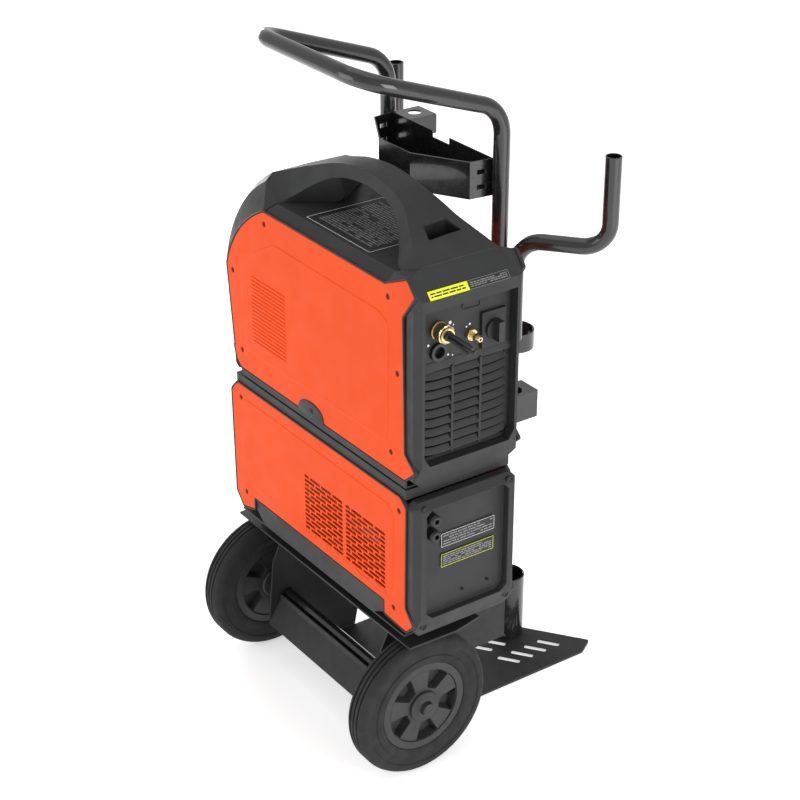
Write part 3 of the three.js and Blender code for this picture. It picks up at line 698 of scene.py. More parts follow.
def weldBead(start, end, radius=2.4, pitch=3.2):
    # A tube whose radius ripples along the weld: r = radius (0.82 + 0.18 |sin(pi s / pitch)|).
    start, end = np.array(start, float), np.array(end, float)
    long = np.linalg.norm(end - start)
    count = int(long / pitch) * 4 + 1
    s = np.linspace(0, long, count)
    line = start + (end - start) * (s / long)[:, None]
    _, side, up = carriedFrames(line)
    angle = np.linspace(0, 2 * pi, 10, endpoint=False)
    r = radius * (0.82 + 0.18 * np.abs(np.sin(pi * s / pitch)))
    r[[0, -1]] *= 0.3
    around = side[:, None] * np.cos(angle)[None, :, None] + up[:, None] * np.sin(angle)[None, :, None]
    return loft(line[:, None] + r[:, None, None] * around)


def makeWelds():
    # Fillets where the toe plate, the axle beam and the uprights meet their neighbours.
    low, high = span("side_plate_right")
    wall = low[0]
    plateTop = span("toe_plate")[1][2]
    beads = []
    for end in (1, -1):
        x = end * (wall - 0.6)
        beads.append(weldBead((x, -59, plateTop), (x, -26, plateTop)))
        beads.append(weldBead((x, -202, 80.5), (x, -144, 80.5), 1.8))
        foot = uprightLine["y"] - trolleyTube["radius"]
        beads.append(weldBead((end * (wall - 0.4), foot + 1, 158), (end * (wall - 0.4), foot + 1, 198), 2.0))
    newPiece("frameWelds", together(*beads), "sheet", "trolley")


toeSheet = {"thin": 2.0, "lip": 2.6, "long": 40, "wide": 9.4, "lean": 36, "pitch": 30,
            "rows": [(90, 134.5, 4), (33, 116.5, 2)]}


def makeToe():
    # A thin pressed sheet with its edge folded down to the floor and round-ended slots that lean outwards.
    t = toeSheet
    low, high = span("toe_plate")
    half, end = 144, high[1]
    side = [(high[0], low[1]), (high[0], 10), (half, 23), (half, end - 31), (125, end)]
    outline = anticlockwise(rounded(side + [(0, 200)] + [(-x, y) for x, y in reversed(side)], 3, 3))
    slots = []
    for x, y, count in t["rows"]:
        for i in range(count):
            for sign in (1, -1):
                a = radians(sign * t["lean"])
                long, wide = t["long"] / 2, t["wide"] / 2
                slot = rounded([(-long, -wide), (long, -wide), (long, wide), (-long, wide)], 3, 4)
                turn = np.array([[cos(a), sin(a)], [-sin(a), cos(a)]])
                slots.append((slot @ turn + (sign * x, y + t["pitch"] * i), False))
    top, thin = high[2], t["thin"]
    sheet = plate(outline, [(0.3, top - thin), (0.3, top - 0.6), (0.9, top)], slots)
    lip = rings(outline, [(t["lip"], top - thin), (0, top - 0.8), (0, 0.4), (0.4, 0), (t["lip"], 0)])
    newPiece("toePlate", together(sheet, grid(lip, loopRows=True, loopCols=True)), "sheet", "trolley",
             ["toe_plate"])


def makeRodHolders():
    low, high = span("rod_cup")
    x, y, r = (low[0] + high[0]) / 2, (low[1] + high[1]) / 2, (high[0] - low[0]) / 2
    wall, soft = 2.5, 0.7
    inner = r - wall
    cup = [(0, low[2]), (r - 1, low[2]), (r, low[2] + 1), (r, high[2] - soft), (r - soft, high[2]),
           (inner + soft, high[2]), (inner, high[2] - soft), (inner, low[2] + wall), (0, low[2] + wall)]
    newPiece("rodCup", turned(cup, (x, y, 0), axis=2, count=72), "frame_black", "trolley", ["rod_cup"])


def makeTyres():
    groove = {"places": (-9, 0, 9), "half": 1.6, "deep": 2.6}
    for side in ("right", "left"):
        low, high = span(f"tyre_{side}")
        centre = (low + high) / 2
        r, half, bore = (high[2] - low[2]) / 2, (high[0] - low[0]) / 2, 80
        flank = [(bore, half - 3), (bore + 3, half - 1), (bore + 8, half - 0.4), (93, half - 0.4),
                 (94, half - 1.8), (107, half - 1.6), (108, half - 0.3), (112, half - 0.3), (115.5, half - 1),
                 (119, half - 2.6), (121.8, half - 5), (123.6, half - 8), (r, half - 11.5)]
        tread = []
        wide, bottom = groove["half"], r - groove["deep"]
        for x in reversed(groove["places"]):
            tread += [(r, x + wide + 0.6), (r - 0.4, x + wide), (bottom, x + 1),
                      (bottom, x - 1), (r - 0.4, x - wide), (r, x - wide - 0.6)]
        profile = flank + tread + [(a, -b) for a, b in reversed(flank)]
        profile.append(profile[0])
        newPiece(f"tyre.{side}", turned(profile, centre, count=120), "tyre", f"{side}_wheel",
                 [f"tyre_{side}"], sharp=30)


wheelDisc = {"windows": 5, "first": -11, "inner": 32, "outer": 64, "halfInner": 9, "halfOuter": 22,
             "face": 18.4, "floor": 3.0, "cap": 27.0, "boss": 10.5, "bore": 10.3}


def makeRims():
    # Barrel, hub and cap are turned; the disc is a plate with blind windows that narrow towards their floors.
    w = wheelDisc
    window = rounded([(w["inner"], -w["halfInner"]), (w["outer"], -w["halfOuter"]),
                      (w["outer"], w["halfOuter"]), (w["inner"], w["halfInner"])], 2.5, 4)
    face, floor = w["face"], w["floor"]
    pocketSteps = [(-0.6, face), (0, face - 0.6), (2.6, floor + 0.8), (3.4, floor)]
    for side, outward in (("right", 1), ("left", -1)):
        low, high = span(f"rim_{side}")
        centre = (low + high) / 2
        r = (high[2] - low[2]) / 2
        barrel = [(66, -19), (67, -20), (r - 1, -20), (r, -19), (r, 19), (r - 1, 20), (67, 20), (66, 19),
                  (64.6, 12), (64.6, -12), (66, -19)]
        bore = w["bore"]
        hub = [(bore, -23), (bore + 1, -24), (25, -24), (27, -22), (27.4, -10), (27.4, 10), (27, 22),
               (25, 24), (bore + 1, 24), (bore, 23), (bore, -23)]
        windows = []
        for i in range(w["windows"]):
            a = radians(360 / w["windows"] * i + w["first"])
            windows.append(window @ np.array([[cos(a), sin(a)], [-sin(a), cos(a)]]))
        halves = []
        for end in (1, -1):
            edge = [(0, 0), (0, face - 0.6), (0.6, face)]
            middle = [(circle((0, 0), 26.4, 48), False)]
            pockets = [(hole, pocketSteps) for hole in windows]
            disc = plate(circle((0, 0), 65.4, 72), edge, middle, floors=pockets)
            halves.append((np.stack([end * disc[0][:, 2], disc[0][:, 0], disc[0][:, 1]], -1), disc[1]))
        part = together(turned(barrel, (0, 0, 0), count=96), turned(hub, (0, 0, 0), count=64), *halves)
        newPiece(f"rim.{side}", shifted(part, centre), "rim", f"{side}_wheel", [f"rim_{side}"], weighted=True)
        cap, boss = w["cap"], w["boss"]
        profile = [(0, 20), (cap, 20), (cap, 22.4), (cap - 1.2, 23.6), (cap - 7, 24.2), (cap - 8, 23.2),
                   (cap - 9, 24.3), (boss + 4, 25.2), (boss + 1.8, 26), (boss + 0.9, 34.8),
                   (boss - 0.8, 35.8), (3, 36), (2.2, 35.5), (0, 35.5)]
        profile = [(radius, outward * along) for radius, along in profile]
        newPiece(f"hubCap.{side}", turned(profile, centre, count=64), "rim", f"{side}_wheel", sharp=30)


# side sheets
upperSheet = {
    "arc": [(-250, 740), (-222, 822), (-131, 867)],
    "rest": [(207, 867), (259, 890), (278, 869), (248, 829), (253, 606), (279, 584), (254, 562),
             (-218, 562), (-230, 574), (-237, 596)],
    "field": [(-101, 823), (191, 819), (216, 806), (214, 631), (206, 606), (-186, 600), (-203, 622),
              (-207, 726), (-168, 788)],
    "screws": [(-129, 847), (-233, 733), (-212, 596), (212, 848), (236, 733), (219, 595)],
    "ribs": {"count": 18, "x": (-175, -71), "z": (628, 742), "width": 4.4, "height": 1.5},
}
lowerSheet = {
    "outline": [(-234, 526), (-252, 507), (-248, 311), (-227, 288), (-192, 299), (-192, 321), (200, 321),
                (200, 297), (259, 293), (276, 310), (255, 335), (257, 514), (242, 526)],
    "field": [(-206, 506), (214, 503), (228, 488), (226, 352), (214, 338), (-208, 340), (-222, 356),
              (-224, 488)],
    "screws": [(-223, 502), (-217, 321), (240, 502), (225, 320)],
    "blocks": [(-26, 85), (94, 204)], "z": (338, 442), "rows": 14, "slotHigh": 4.4, "web": 3.6,
}
sheetEdge = {"thick": 2.0, "radius": 0.9, "screwHole": 4.6, "embossed": 0.8}


def onSide(part, end):
    # A flat sheet's (u, v, height) stands upright on one side of the machines: x = u, z = v, and its
    # height runs outwards from the middle plane.
    face = operatorFace if end < 0 else bottleFace
    u, v, h = part[0].T
    return np.stack([u, face + end * (h - sheetEdge["thick"]), v], -1), part[1]


def slotRows():
    # Staggered slots: each row of a block has three long ones and a short one, at one end or the other.
    s = lowerSheet
    pitch = (s["z"][1] - s["z"][0]) / (s["rows"] - 1)
    slots = []
    for x0, x1 in s["blocks"]:
        long = (x1 - x0 + s["web"]) / 3.5
        for row in range(s["rows"]):
            z = s["z"][0] + row * pitch
            starts = x0 + long * np.arange(4) - (long / 2 if row % 2 else 0)
            for start in starts:
                a, b = max(start, x0), min(start + long - s["web"], x1)
                if b - a > s["slotHigh"]:
                    half = s["slotHigh"] / 2
                    corners = [(a, z - half), (b, z - half), (b, z + half), (a, z + half)]
                    slots.append(rounded(corners, half, 3))
    return slots


def makeSheets():
    edge = roundEdge(sheetEdge["thick"], sheetEdge["radius"])
    t, lift = sheetEdge["thick"], sheetEdge["embossed"]
    fieldSteps = [(0, t), (0.8, t + 0.15), (2.0, t + lift - 0.15), (2.8, t + lift)]
    u = upperSheet
    arc = curveThrough(*u["arc"], 22)
    upper = np.concatenate([arc, rounded(u["rest"], 3, 3)])
    lower = rounded(lowerSheet["outline"], 3, 3)
    ribs = u["ribs"]
    places = np.linspace(*ribs["z"], ribs["count"])
    long = ribs["x"][1] - ribs["x"][0]
    bars = []
    for z in places:
        bar = capsule(long, ribs["width"], ribs["height"])
        bars.append(shifted(bar, (sum(ribs["x"]) / 2, z, t + lift)))
    hole = sheetEdge["screwHole"]
    slots = [(slot, True) for slot in slotRows()]
    for name, end in (("bottle_side", 1), ("operator_side", -1)):
        screws = [(circle(at, hole), False) for at in u["screws"]]
        part = plate(upper, edge, screws, (rounded(u["field"], 8, 4), fieldSteps))
        newPiece(f"upperSheet.{name}", onSide(together(part, *bars), end), "panel_orange", "trolley",
                 [f"side_panel_{name}"], weighted=True)
        screws = [(circle(at, hole), False) for at in lowerSheet["screws"]]
        part = plate(lower, edge, screws + slots, (rounded(lowerSheet["field"], 8, 4), fieldSteps))
        newPiece(f"lowerSheet.{name}", onSide(part, end), "panel_orange", "trolley",
                 [f"cooler_panel_{name}"], weighted=True)


sheetTab = {"middle": -1.5, "half": 36.5, "foot": 560.5, "top": 586, "thick": 1.8, "screw": (3, 573)}


def makeTabs():
    # Half-round tab of the base over each upper sheet: v rises with the 0.7th power of the sine.
    t = sheetTab
    angle = np.linspace(0, pi, 22)
    arch = np.stack([t["middle"] + t["half"] * np.cos(angle),
                     t["foot"] + (t["top"] - t["foot"]) * np.sin(angle).clip(0) ** 0.7], -1)
    edge = roundEdge(t["thick"], 0.8, sheetEdge["thick"] - 0.1)
    screw = [(0, 2.2), (3.6, 2.2), (3.6, 2.9), (3.1, 3.3), (1.9, 3.3), (1.7, 2.4), (0, 2.4)]
    for side, end in (("bottle", 1), ("operator", -1)):
        tab = plate(arch, edge, [(circle(t["screw"], 4.6), False)])
        head = turned(screw, (*t["screw"], 0), 2, 20)
        part = together(tab, head)
        newPiece(f"sheetTab.{side}", onSide(part, end), "housing_grey", "trolley", sharp=40)


# (inset, height) steps of the bead round a sheet
sheetTrim = [(-0.7, -3.5), (-0.7, 2.0), (-1.1, 2.5), (-2.6, 2.5), (-3.2, 1.9), (-3.2, -3.5)]


def makeTrims():
    # A low bead of the mouldings stands round each sheet, behind a narrow gap.
    arc = curveThrough(*upperSheet["arc"], 22)
    upper = anticlockwise(np.concatenate([arc, rounded(upperSheet["rest"], 3, 3)]))
    lower = anticlockwise(rounded(lowerSheet["outline"], 3, 3))
    for side, end in (("bottle", 1), ("operator", -1)):
        beads = [grid(rings(outline, sheetTrim), loopRows=True, loopCols=True) for outline in (upper, lower)]
        newPiece(f"sheetTrim.{side}", onSide(together(*beads), end), "housing_grey", "trolley")


def makeScrews():
    # Cup and socket head: both are profiles turned about an axis across the side sheets.
    cup = [(0, -3.4), (5.6, -3.4), (5.6, -2.2), (4.4, -2.2), (4.4, -3), (0, -3)]
    head = [(0, -3), (3.5, -3), (3.5, -1.4), (3, -0.9), (1.9, -0.9), (1.7, -1.3), (1.6, -2.3), (0, -2.3)]
    for end in (1, -1):
        parts = []
        for u, v in upperSheet["screws"] + lowerSheet["screws"]:
            for profile in (cup, head):
                part = turned(profile, (0, 0, 0), axis=2, count=20)
                parts.append(shifted(part, (u, v, sheetEdge["thick"])))
        side = "bottle" if end > 0 else "operator"
        newPiece(f"sheetScrews.{side}", onSide(together(*parts), end), "fitting_black", "trolley")


# power source
# Three rails on one side of the machines' middle plane, front to back: the edge of the top face, the lower
# edge of the flank, and the edge underneath. Each is (x, distance from the middle plane, z).
handleRails = {
    "top": [(-148, 69, 922), (-122, 55, 932), (-98, 43, 941), (-72, 33, 950), (-45, 27, 959), (-20, 25, 966),
            (10, 24, 971), (45, 24, 973.5), (80, 24, 972), (115, 25, 966), (142, 28, 958), (164, 34, 948),
            (184, 43, 934), (209, 55, 919.5), (252, 71, 899)],
    "flank": [(-147, 82, 911), (-112, 73, 888), (-98, 61, 897), (-78, 43, 915), (-50, 31, 932),
              (-25, 28, 942), (6, 27, 949), (42, 27, 953), (78, 27, 951), (112, 29, 944), (138, 34, 930),
              (158, 43, 912), (178, 56, 896), (206, 76, 885), (251, 80, 887)],
    "under": [(-131, 98.0, 868.6), (-112, 84.6, 884.6), (-104, 62, 883), (-88, 34, 883), (-66, 10, 883),
              (-42, 4, 900), (-8, 3, 944), (38, 3, 951), (78, 3, 949), (110, 3, 941), (132, 3, 926),
              (148, 8, 900), (168, 30, 883), (200, 68, 883), (250, 78, 883)],
    "firstFacets": 1, "steps": 7,
}
gripPocket = {
    "outline": [(187, -20), (184, 21), (209, 35), (213, -27)],
    "low": 887, "high": 960, "liner": 911,
}


def pocketCutter():
    return onMid(prism(rounded(gripPocket["outline"], 4, 4), 2, gripPocket["low"], gripPocket["high"]))


def deckCutter():
    # The deck's front end is cut back along the foot of the handle's front facets.
    half = [(-140, 112), (-131, 98.4), (-112, 84.2), (-112, 20)]
    return onMid(prism([(x, -y) for x, y in half] + half[::-1], 2, 850, 900))


def makeHandle():
    # The rails and their mirror images make one closed section at each station along the machine.
    h = handleRails
    rails = np.array([h["top"], h["flank"], h["under"]], float).transpose(1, 0, 2)
    line = np.concatenate([rails[:h["firstFacets"]], easedThrough(rails[h["firstFacets"]:], h["steps"])])
    crown = line[:, :1] * (1, 0, 1) + (0, 0, 1.2)
    right = line.copy()
    left = (line * (1, -1, 1))[:, ::-1]
    sections = np.concatenate([crown, right, left], 1)
    part = carved(onMid(loft(sections)), pocketCutter())
    newPiece("carryHandle", part, "housing_grey", "trolley", ["carry_handle"], sharp=34, soft=2.2)
    # The pocket's liner: a floor with walls up to just under the mouth, in satin black darker than the
    # housing grey, as painted shade in the hollow.
    outline = anticlockwise(rounded(gripPocket["outline"], 4, 4))
    low, top = gripPocket["low"], gripPocket["liner"]
    wall = rings(outline, [(-1, low - 1), (-1, top), (0.5, top), (0.5, low + 0.6)])
    liner = together(grid(wall, loopCols=True), filled([wall[0]]), filled([wall[-1]]))
    newPiece("pocketShadeLiner", onMid(liner), "fitting_black", "trolley")


# Front shell: on each side the sheet's edge, the shoulder and the crest, as lines in the X, Z plane.
frontLines = {
    "sheet": [(-239, 562), (-241, 597), (-252, 741)], "sheetBow": (-224, 824), "sheetEnd": (-131.5, 868.6),
    "crest": [(-236, 548), (-251, 597), (-268, 745)], "crestBow": (-246, 866), "crestEnd": (-148, 922),
    "sheetHalf": 97.6, "shoulderHalf": (93, 82), "crestHalf": (86, 69), "shoulderPart": 0.8, "wall": 4.0,
    "steps": 18,
    "window": [(-80, 600), (80, 600), (84, 612), (84, 780), (70, 812), (-70, 812), (-84, 780), (-84, 612)],
}


def makeFrontShell():
    # Each section runs from one sheet edge over the shoulder and crest to the other and back inside.
    f = frontLines
    lines = {}
    for name in ("sheet", "crest"):
        bow = curveThrough(f[name][-1], f[name + "Bow"], f[name + "End"], f["steps"])
        lines[name] = np.concatenate([np.array(f[name][:-1], float), bow])
    share = np.linspace(0, 1, len(lines["sheet"]))[:, None]
    shoulder = lines["sheet"] + f["shoulderPart"] * (lines["crest"] - lines["sheet"])
    halves = {"sheet": f["sheetHalf"] + 0 * share}
    for name in ("shoulder", "crest"):
        first, last = f[name + "Half"]
        halves[name] = first + (last - first) * share
    along = np.gradient(lines["crest"], axis=0)
    along /= np.linalg.norm(along, axis=1)[:, None]
    inward = np.stack([along[:, 1], -along[:, 0]], -1) * f["wall"]
    outer, inner = [], []
    for name, flat in (("sheet", lines["sheet"]), ("shoulder", shoulder), ("crest", lines["crest"])):
        outer.append(np.stack([flat[:, 0], halves[name][:, 0], flat[:, 1]], -1))
        flat = flat + inward
        inner.append(np.stack([flat[:, 0], halves[name][:, 0] - 0.6 * f["wall"], flat[:, 1]], -1))
    outer, inner = np.stack(outer, 1), np.stack(inner, 1)
    flip = (1, -1, 1)
    sections = np.concatenate([outer, (outer * flip)[:, ::-1], inner * flip, inner[:, ::-1]], 1)
    window = onMid(prism(f["window"], 0, -330, -190))
    newPiece("frontShell", carved(onMid(loft(sections)), window), "housing_grey", "trolley", ["front_frame"],
             sharp=24, soft=1.2)


# Rear corners of the power source: the facets between a sheet's upper tip, the deck and the rear slope.
cornerPoints = [
    (205, 97.5, 868.4), (259, 97.5, 891.4), (253, 71.5, 899.4), (209, 84.4, 884.6), (278.4, 97.5, 869.2),
    (284.3, 90.4, 861.2), (272, 97.5, 850), (284.3, 90.4, 846), (209, 76, 866), (250, 60, 880),
    (280, 80, 846),
]


def makeCorners():
    for side, end in (("bottle", 1), ("operator", -1)):
        points = np.array(cornerPoints, float) * (1, end, 1)
        shape = bmesh.new()
        for point in points:
            shape.verts.new(point)
        bmesh.ops.convex_hull(shape, input=shape.verts)
        spare = [v for v in shape.verts if not v.link_faces]
        bmesh.ops.delete(shape, geom=spare, context="VERTS")
        shape.verts.index_update()
        part = np.array([v.co for v in shape.verts]), [[v.index for v in face.verts] for face in shape.faces]
        shape.free()
        newPiece(f"rearCorner.{side}", onMid(part), "housing_grey", "trolley", sharp=20, soft=2.2)


grilleSlats = {
    "count": 9, "pitch": 15.6, "high": 11.2, "thick": 3.0, "lean": 6.0, "bulge": 3.5, "rise": 2.5,
    # backing is the span of the black sheet behind the louvres; the sheet is painted shade for the dark
    # inside of the machine
    "ribs": (-26, 26), "ribHalf": 2.3, "backing": (-77, 77),
}


def makeGrille():
    # Open louvres: a leaning rounded section carried across the opening, whose ends fall back with the fifth
    # power of the distance from the middle and rise by its eighth.
    g = grilleSlats
    low, high = span("rear_grille")
    mid, half = (low[1] + high[1]) / 2, (high[1] - low[1]) / 2 + 1
    s = np.linspace(-1, 1, 33)
    back, rise = g["bulge"] * np.abs(s) ** 5, g["rise"] * np.abs(s) ** 8
    section = rounded([(-6, 1.5), (0, 0), (g["thick"], 1.2), (g["thick"] - g["lean"], g["high"]),
                       (-g["lean"], g["high"]), (-6, g["high"] - 2)], 1.0, 3)
    parts = []
    for i in range(g["count"]):
        x = high[0] + 1.0 + section[:, None, 0] - back[None]
        z = low[2] + 3 + g["pitch"] * i + section[:, None, 1] + rise[None]
        y = mid + half * s[None] + 0 * x
        points = np.stack([x, y, z], -1)
        parts.append(loft(points.transpose(1, 0, 2)))
    for y in g["ribs"]:
        across = (mid + y - g["ribHalf"], mid + y + g["ribHalf"])
        parts.append(box3((high[0] - 8, high[0] + 3.4), across, (low[2], high[2]), 0.9))
    newPiece("rearGrille", together(*parts), "housing_grey", "trolley", ["rear_grille"], weighted=True)
    # A black sheet just behind the louvres: painted shade standing in for the dark inside seen through the
    # grille
    (left, right), bottom, top = g["backing"], low[2] - 3, high[2] + 3
    outline = rounded([(left, bottom), (right, bottom), (right, top), (left, top)], 3, 3)
    backing = prism(outline, 0, high[0] - 11.5, high[0] - 10.5)
    newPiece("grilleShadeSheet", onMid(backing), "fitting_black", "trolley")


def box3(xs, ys, zs, soft):
    # Rounded block: a rounded plan carried up through four levels, pulled in at the first and last.
    outline = rounded([(xs[0], ys[0]), (xs[1], ys[0]), (xs[1], ys[1]), (xs[0], ys[1])], soft, 3)
    wall = rings(outline, [(soft, zs[0]), (0, zs[0] + soft), (0, zs[1] - soft), (soft, zs[1])])
    return together(grid(wall, loopCols=True), filled([wall[0]]), filled([wall[-1]]))


def makeGland():
    low, high = span("cable_gland")
    centre = (0, (low[1] + high[1]) / 2, (low[2] + high[2]) / 2)
    flange, back, front = 14.5, 266.3, high[0]
    thread = []
    for x in np.arange(273, front - 0.5, 1.2):
        thread += [(10.4, x), (11, x + 0.6)]
    body = [(7.5, low[0]), (9.2, low[0]), (9.2, back), (flange - 0.8, back), (flange, back + 0.8),
            (flange, back + 4.4), (flange - 0.8, back + 5.2), (11, 271.5), *thread, (10.4, front),
            (7.5, front), (7.5, low[0])]
    newPiece("glandBody", turned(body, centre, count=60), "brass", "trolley", ["cable_gland"], sharp=25)
    low, high = span("gland_nut")
    # Hexagon nut: the radius is the smaller of the hexagon's at that angle and a cone that takes its
    # corners off.
    angle = np.linspace(0, 2 * pi, 96, endpoint=False)
    flat = 13.6
    hexagon = flat / np.cos((angle + pi / 6) % (pi / 3) - pi / 6)
    stations = np.array([(11.4, 275.2), (14.2, 275.2), (15.6, 276.4), (15.6, 285.6), (14.6, 287.4),
                         (12.6, 288.2), (12.2, 291.4), (11, 292.6), (8.2, 292.6), (7.7, 292), (7.7, 287),
                         (11.4, 286.4), (11.4, 275.2)])
    r = np.minimum(stations[:-1, None, 0], np.where(stations[:-1, None, 0] > 12.8, hexagon[None], 99))
    points = np.stack([stations[:-1, None, 1] + 0 * r, r * np.cos(angle), r * np.sin(angle)], -1)
    newPiece("glandNut", shifted(grid(points, loopRows=True, loopCols=True), centre), "brass", "trolley",
             ["gland_nut"], sharp=28)


mainsCores = {
    "sheath": 7.2, "sheathStart": 240, "sheathEnd": 298,
    "core": 6.0, "around": 4.0, "reach": 351.0, "angles": (90, 210, 330),
}


def makeCores():
    m = mainsCores
    low, high = span("cable_gland")
    y, z = (low[1] + high[1]) / 2, (low[2] + high[2]) / 2
    r, start, end = m["sheath"], m["sheathStart"], m["sheathEnd"]
    sheath = [(0, start), (r, start), (r, end - 0.6), (r - 0.6, end), (0, end)]
    newPiece("leadSheath", turned(sheath, (0, y, z), count=40), "cable", "trolley")
    for i, angle in enumerate(m["angles"]):
        a = radians(angle)
        start = np.array([m["sheathEnd"] - 1, y + m["around"] * cos(a), z + m["around"] * sin(a)])
        spread = np.array([0, 3.5 * cos(a), 2.0 * sin(a) - 3.5])
        t = np.linspace(0, 1, 16)[:, None]
        line = start + np.array([m["reach"] - 1.5 * i - start[0], 0, 0]) * t + spread * t ** 2
        curve = bpy.data.curves.new(f"core.{i + 1}", "CURVE")
        curve.dimensions = "3D"
        curve.bevel_depth = m["core"] / 2 * mm
        curve.bevel_resolution = 5
        curve.use_fill_caps = True
        spline = curve.splines.new("POLY")
        spline.points.add(len(line) - 1)
        spline.points.foreach_set("co", np.column_stack([line * mm, np.ones(len(line))]).ravel())
        spline.use_smooth = True
        curve.materials.append(finishes["cable"])
        core = bpy.data.objects.new(f"core.{i + 1}", curve)
        bpy.context.scene.collection.objects.link(core)
        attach(core, "trolley")
        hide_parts("mains_lead")


# printed labels: a thin backing, an outline and rows of short bars that stand for text
inks = {
    "white": printInk("whiteInk", (0.78, 0.78, 0.78)), "yellow": printInk("yellowInk", (0.86, 0.92, 0.02)),
    "dark": printInk("darkInk", (0.012, 0.012, 0.012)), "grey": printInk("greyInk", (0.22, 0.22, 0.22)),
}
alongX, alongY, alongZ, upSlope = (1, 0, 0), (0, 1, 0), (0, 0, 1), (-0.654, 0, 0.756)
labels = {
    "deckLabel": {"corner": (-38, -78, 884.4), "across": alongX, "up": alongY, "size": (172, 142),
                  "rows": 21, "backing": "dark", "ink": "grey", "frame": "white", "gap": 0.5},
    "slopeYellow": {"corner": (284.9, -76, 861.2), "across": alongY, "up": upSlope, "size": (70, 14),
                    "rows": 2, "backing": "yellow", "ink": "dark", "frame": None, "gap": 0.5},
    "slopeText": {"corner": (284.9, -5.5, 861.2), "across": alongY, "up": upSlope, "size": (74, 14),
                  "rows": 3, "backing": "dark", "ink": "grey", "frame": "grey", "gap": 0.5},
    "ratingPlate": {"corner": (272.2, -43, 433), "across": alongY, "up": alongZ, "size": (102, 24),
                    "rows": 4, "backing": "dark", "ink": "grey", "frame": "white", "gap": 0.6},
    "noticePlate": {"corner": (272.2, -43, 397), "across": alongY, "up": alongZ, "size": (101, 23),
                    "rows": 5, "backing": "dark", "ink": "grey", "frame": "yellow", "gap": 0.5},
}


def labelStrips(item, rects, lift, thick):
    # Rectangles (u0, u1, v0, v1) on the label become shallow blocks that stand out of it.
    origin = np.array(item["corner"], float)
    across, up = np.array(item["across"], float), np.array(item["up"], float)
    out = np.cross(across, up)
    parts = []
    for u0, u1, v0, v1 in rects:
        corners, faces = block((u0, u1), (v0, v1), (lift, lift + thick))
        points = origin + corners[:, :1] * across + corners[:, 1:2] * up + corners[:, 2:] * out
        parts.append((points, faces))
    return onMid(together(*parts))


def makeLabels():
    chance = np.random.default_rng(7)
    for name, item in labels.items():
        wide, high = item["size"]
        newPiece(name, labelStrips(item, [(0, wide, 0, high)], -0.3, 0.6), inks[item["backing"]], "trolley")
        if item["frame"]:
            line = 0.6 if wide < 150 else 1.1
            edges = [(0, wide, 0, line), (0, wide, high - line, high),
                     (0, line, 0, high), (wide - line, wide, 0, high)]
            newPiece(f"{name}.outline", labelStrips(item, edges, 0.3, 0.12), inks[item["frame"]], "trolley")
        margin = 0.09 * high if high > 30 else 2.6
        pitch = (high - 2 * margin) / item["rows"]
        bars = []
        for row in range(item["rows"]):
            u = margin + 1
            v = high - margin - pitch * (row + 1) + pitch * item["gap"] / 2
            while u < wide - margin - 3:
                long = pitch * chance.uniform(0.7, 3.4)
                end = min(u + long, wide - margin - 1)
                if chance.random() > 0.12:
                    bars.append((u, end, v, v + pitch * (1 - item["gap"])))
                u = end + pitch * 0.4
        newPiece(f"{name}.bars", labelStrips(item, bars, 0.3, 0.1), inks[item["ink"]], "trolley")


# small fittings on the rear faces, as (distance from the middle plane, z)
# (marks have a radius too)
rearMarks = {
    "face": 266.3,
    "marks": [(-27, 808, 2.6), (-21, 803, 1.2), (3, 793, 1.4), (9, 796, 1.8), (41, 838, 2.0), (-66, 781, 2.0),
              (-30, 757, 1.6), (-22, 754, 1.2)],
}
rearScrews = {
    "grille": {"face": 268.5, "radius": 4.6, "at": [(-78, 733), (77, 733)]},
    "power": {"face": 272.0, "radius": 3.0, "at": [(-80, 600), (80, 600)]},
    "coolerTop": {"face": 281.4, "radius": 6.0, "at": [(-80, 516), (80, 517)]},
    "coolerFoot": {"face": 278.6, "radius": 6.0, "at": [(-80, 305), (81, 306)]},
    "coolerSmall": {"face": 272.0, "radius": 2.4, "at": [(0, 342), (49, 342)]},
}


def makeRearDetails():
    parts = []
    for y, z, r in rearMarks["marks"]:
        dot = [(0, -0.2), (r, -0.2), (r, 0.1), (0, 0.1)]
        parts.append(turned(dot, (rearMarks["face"], machineMid + y, z), count=14))
    newPiece("rearMarks", together(*parts), inks["white"], "trolley")
    parts = []
    for item in rearScrews.values():
        r = item["radius"]
        profile = [(0, -2), (r, -2), (r, 0.4), (r - 0.5, 0.9), (0.8 * r, 0.9), (0.74 * r, -0.6),
                   (0.66 * r, -0.6), (0.6 * r, 0.5), (0.35 * r, 0.5), (0.3 * r, -0.7), (0, -0.7)]
        for y, z in item["at"]:
            parts.append(turned(profile, (item["face"], machineMid + y, z), count=24))
    newPiece("rearScrews", together(*parts), "fitting_black", "trolley")
    oval = rounded([(-5, 822), (27, 822), (27, 832), (-5, 832)], 4.9, 5)
    steps = [(0.6, 265.8), (0.6, 267.4), (0, 267.4), (-1.2, 267.4), (-1.2, 265.8)]
    wall = rings(anticlockwise(oval), steps)
    points = np.stack([wall[..., 2], machineMid + wall[..., 0], wall[..., 1]], -1)
    newPiece("portCover", grid(points, loopRows=True, loopCols=True), "housing_grey", "trolley")
    section = [(255, 738), (270.5, 738), (270.5, 743), (266.6, 752), (255, 752)]
    ledge = prism(section, 1, machineMid - 84, machineMid + 84)
    newPiece("grilleLedge", ledge, "housing_grey", "trolley", soft=0.8)


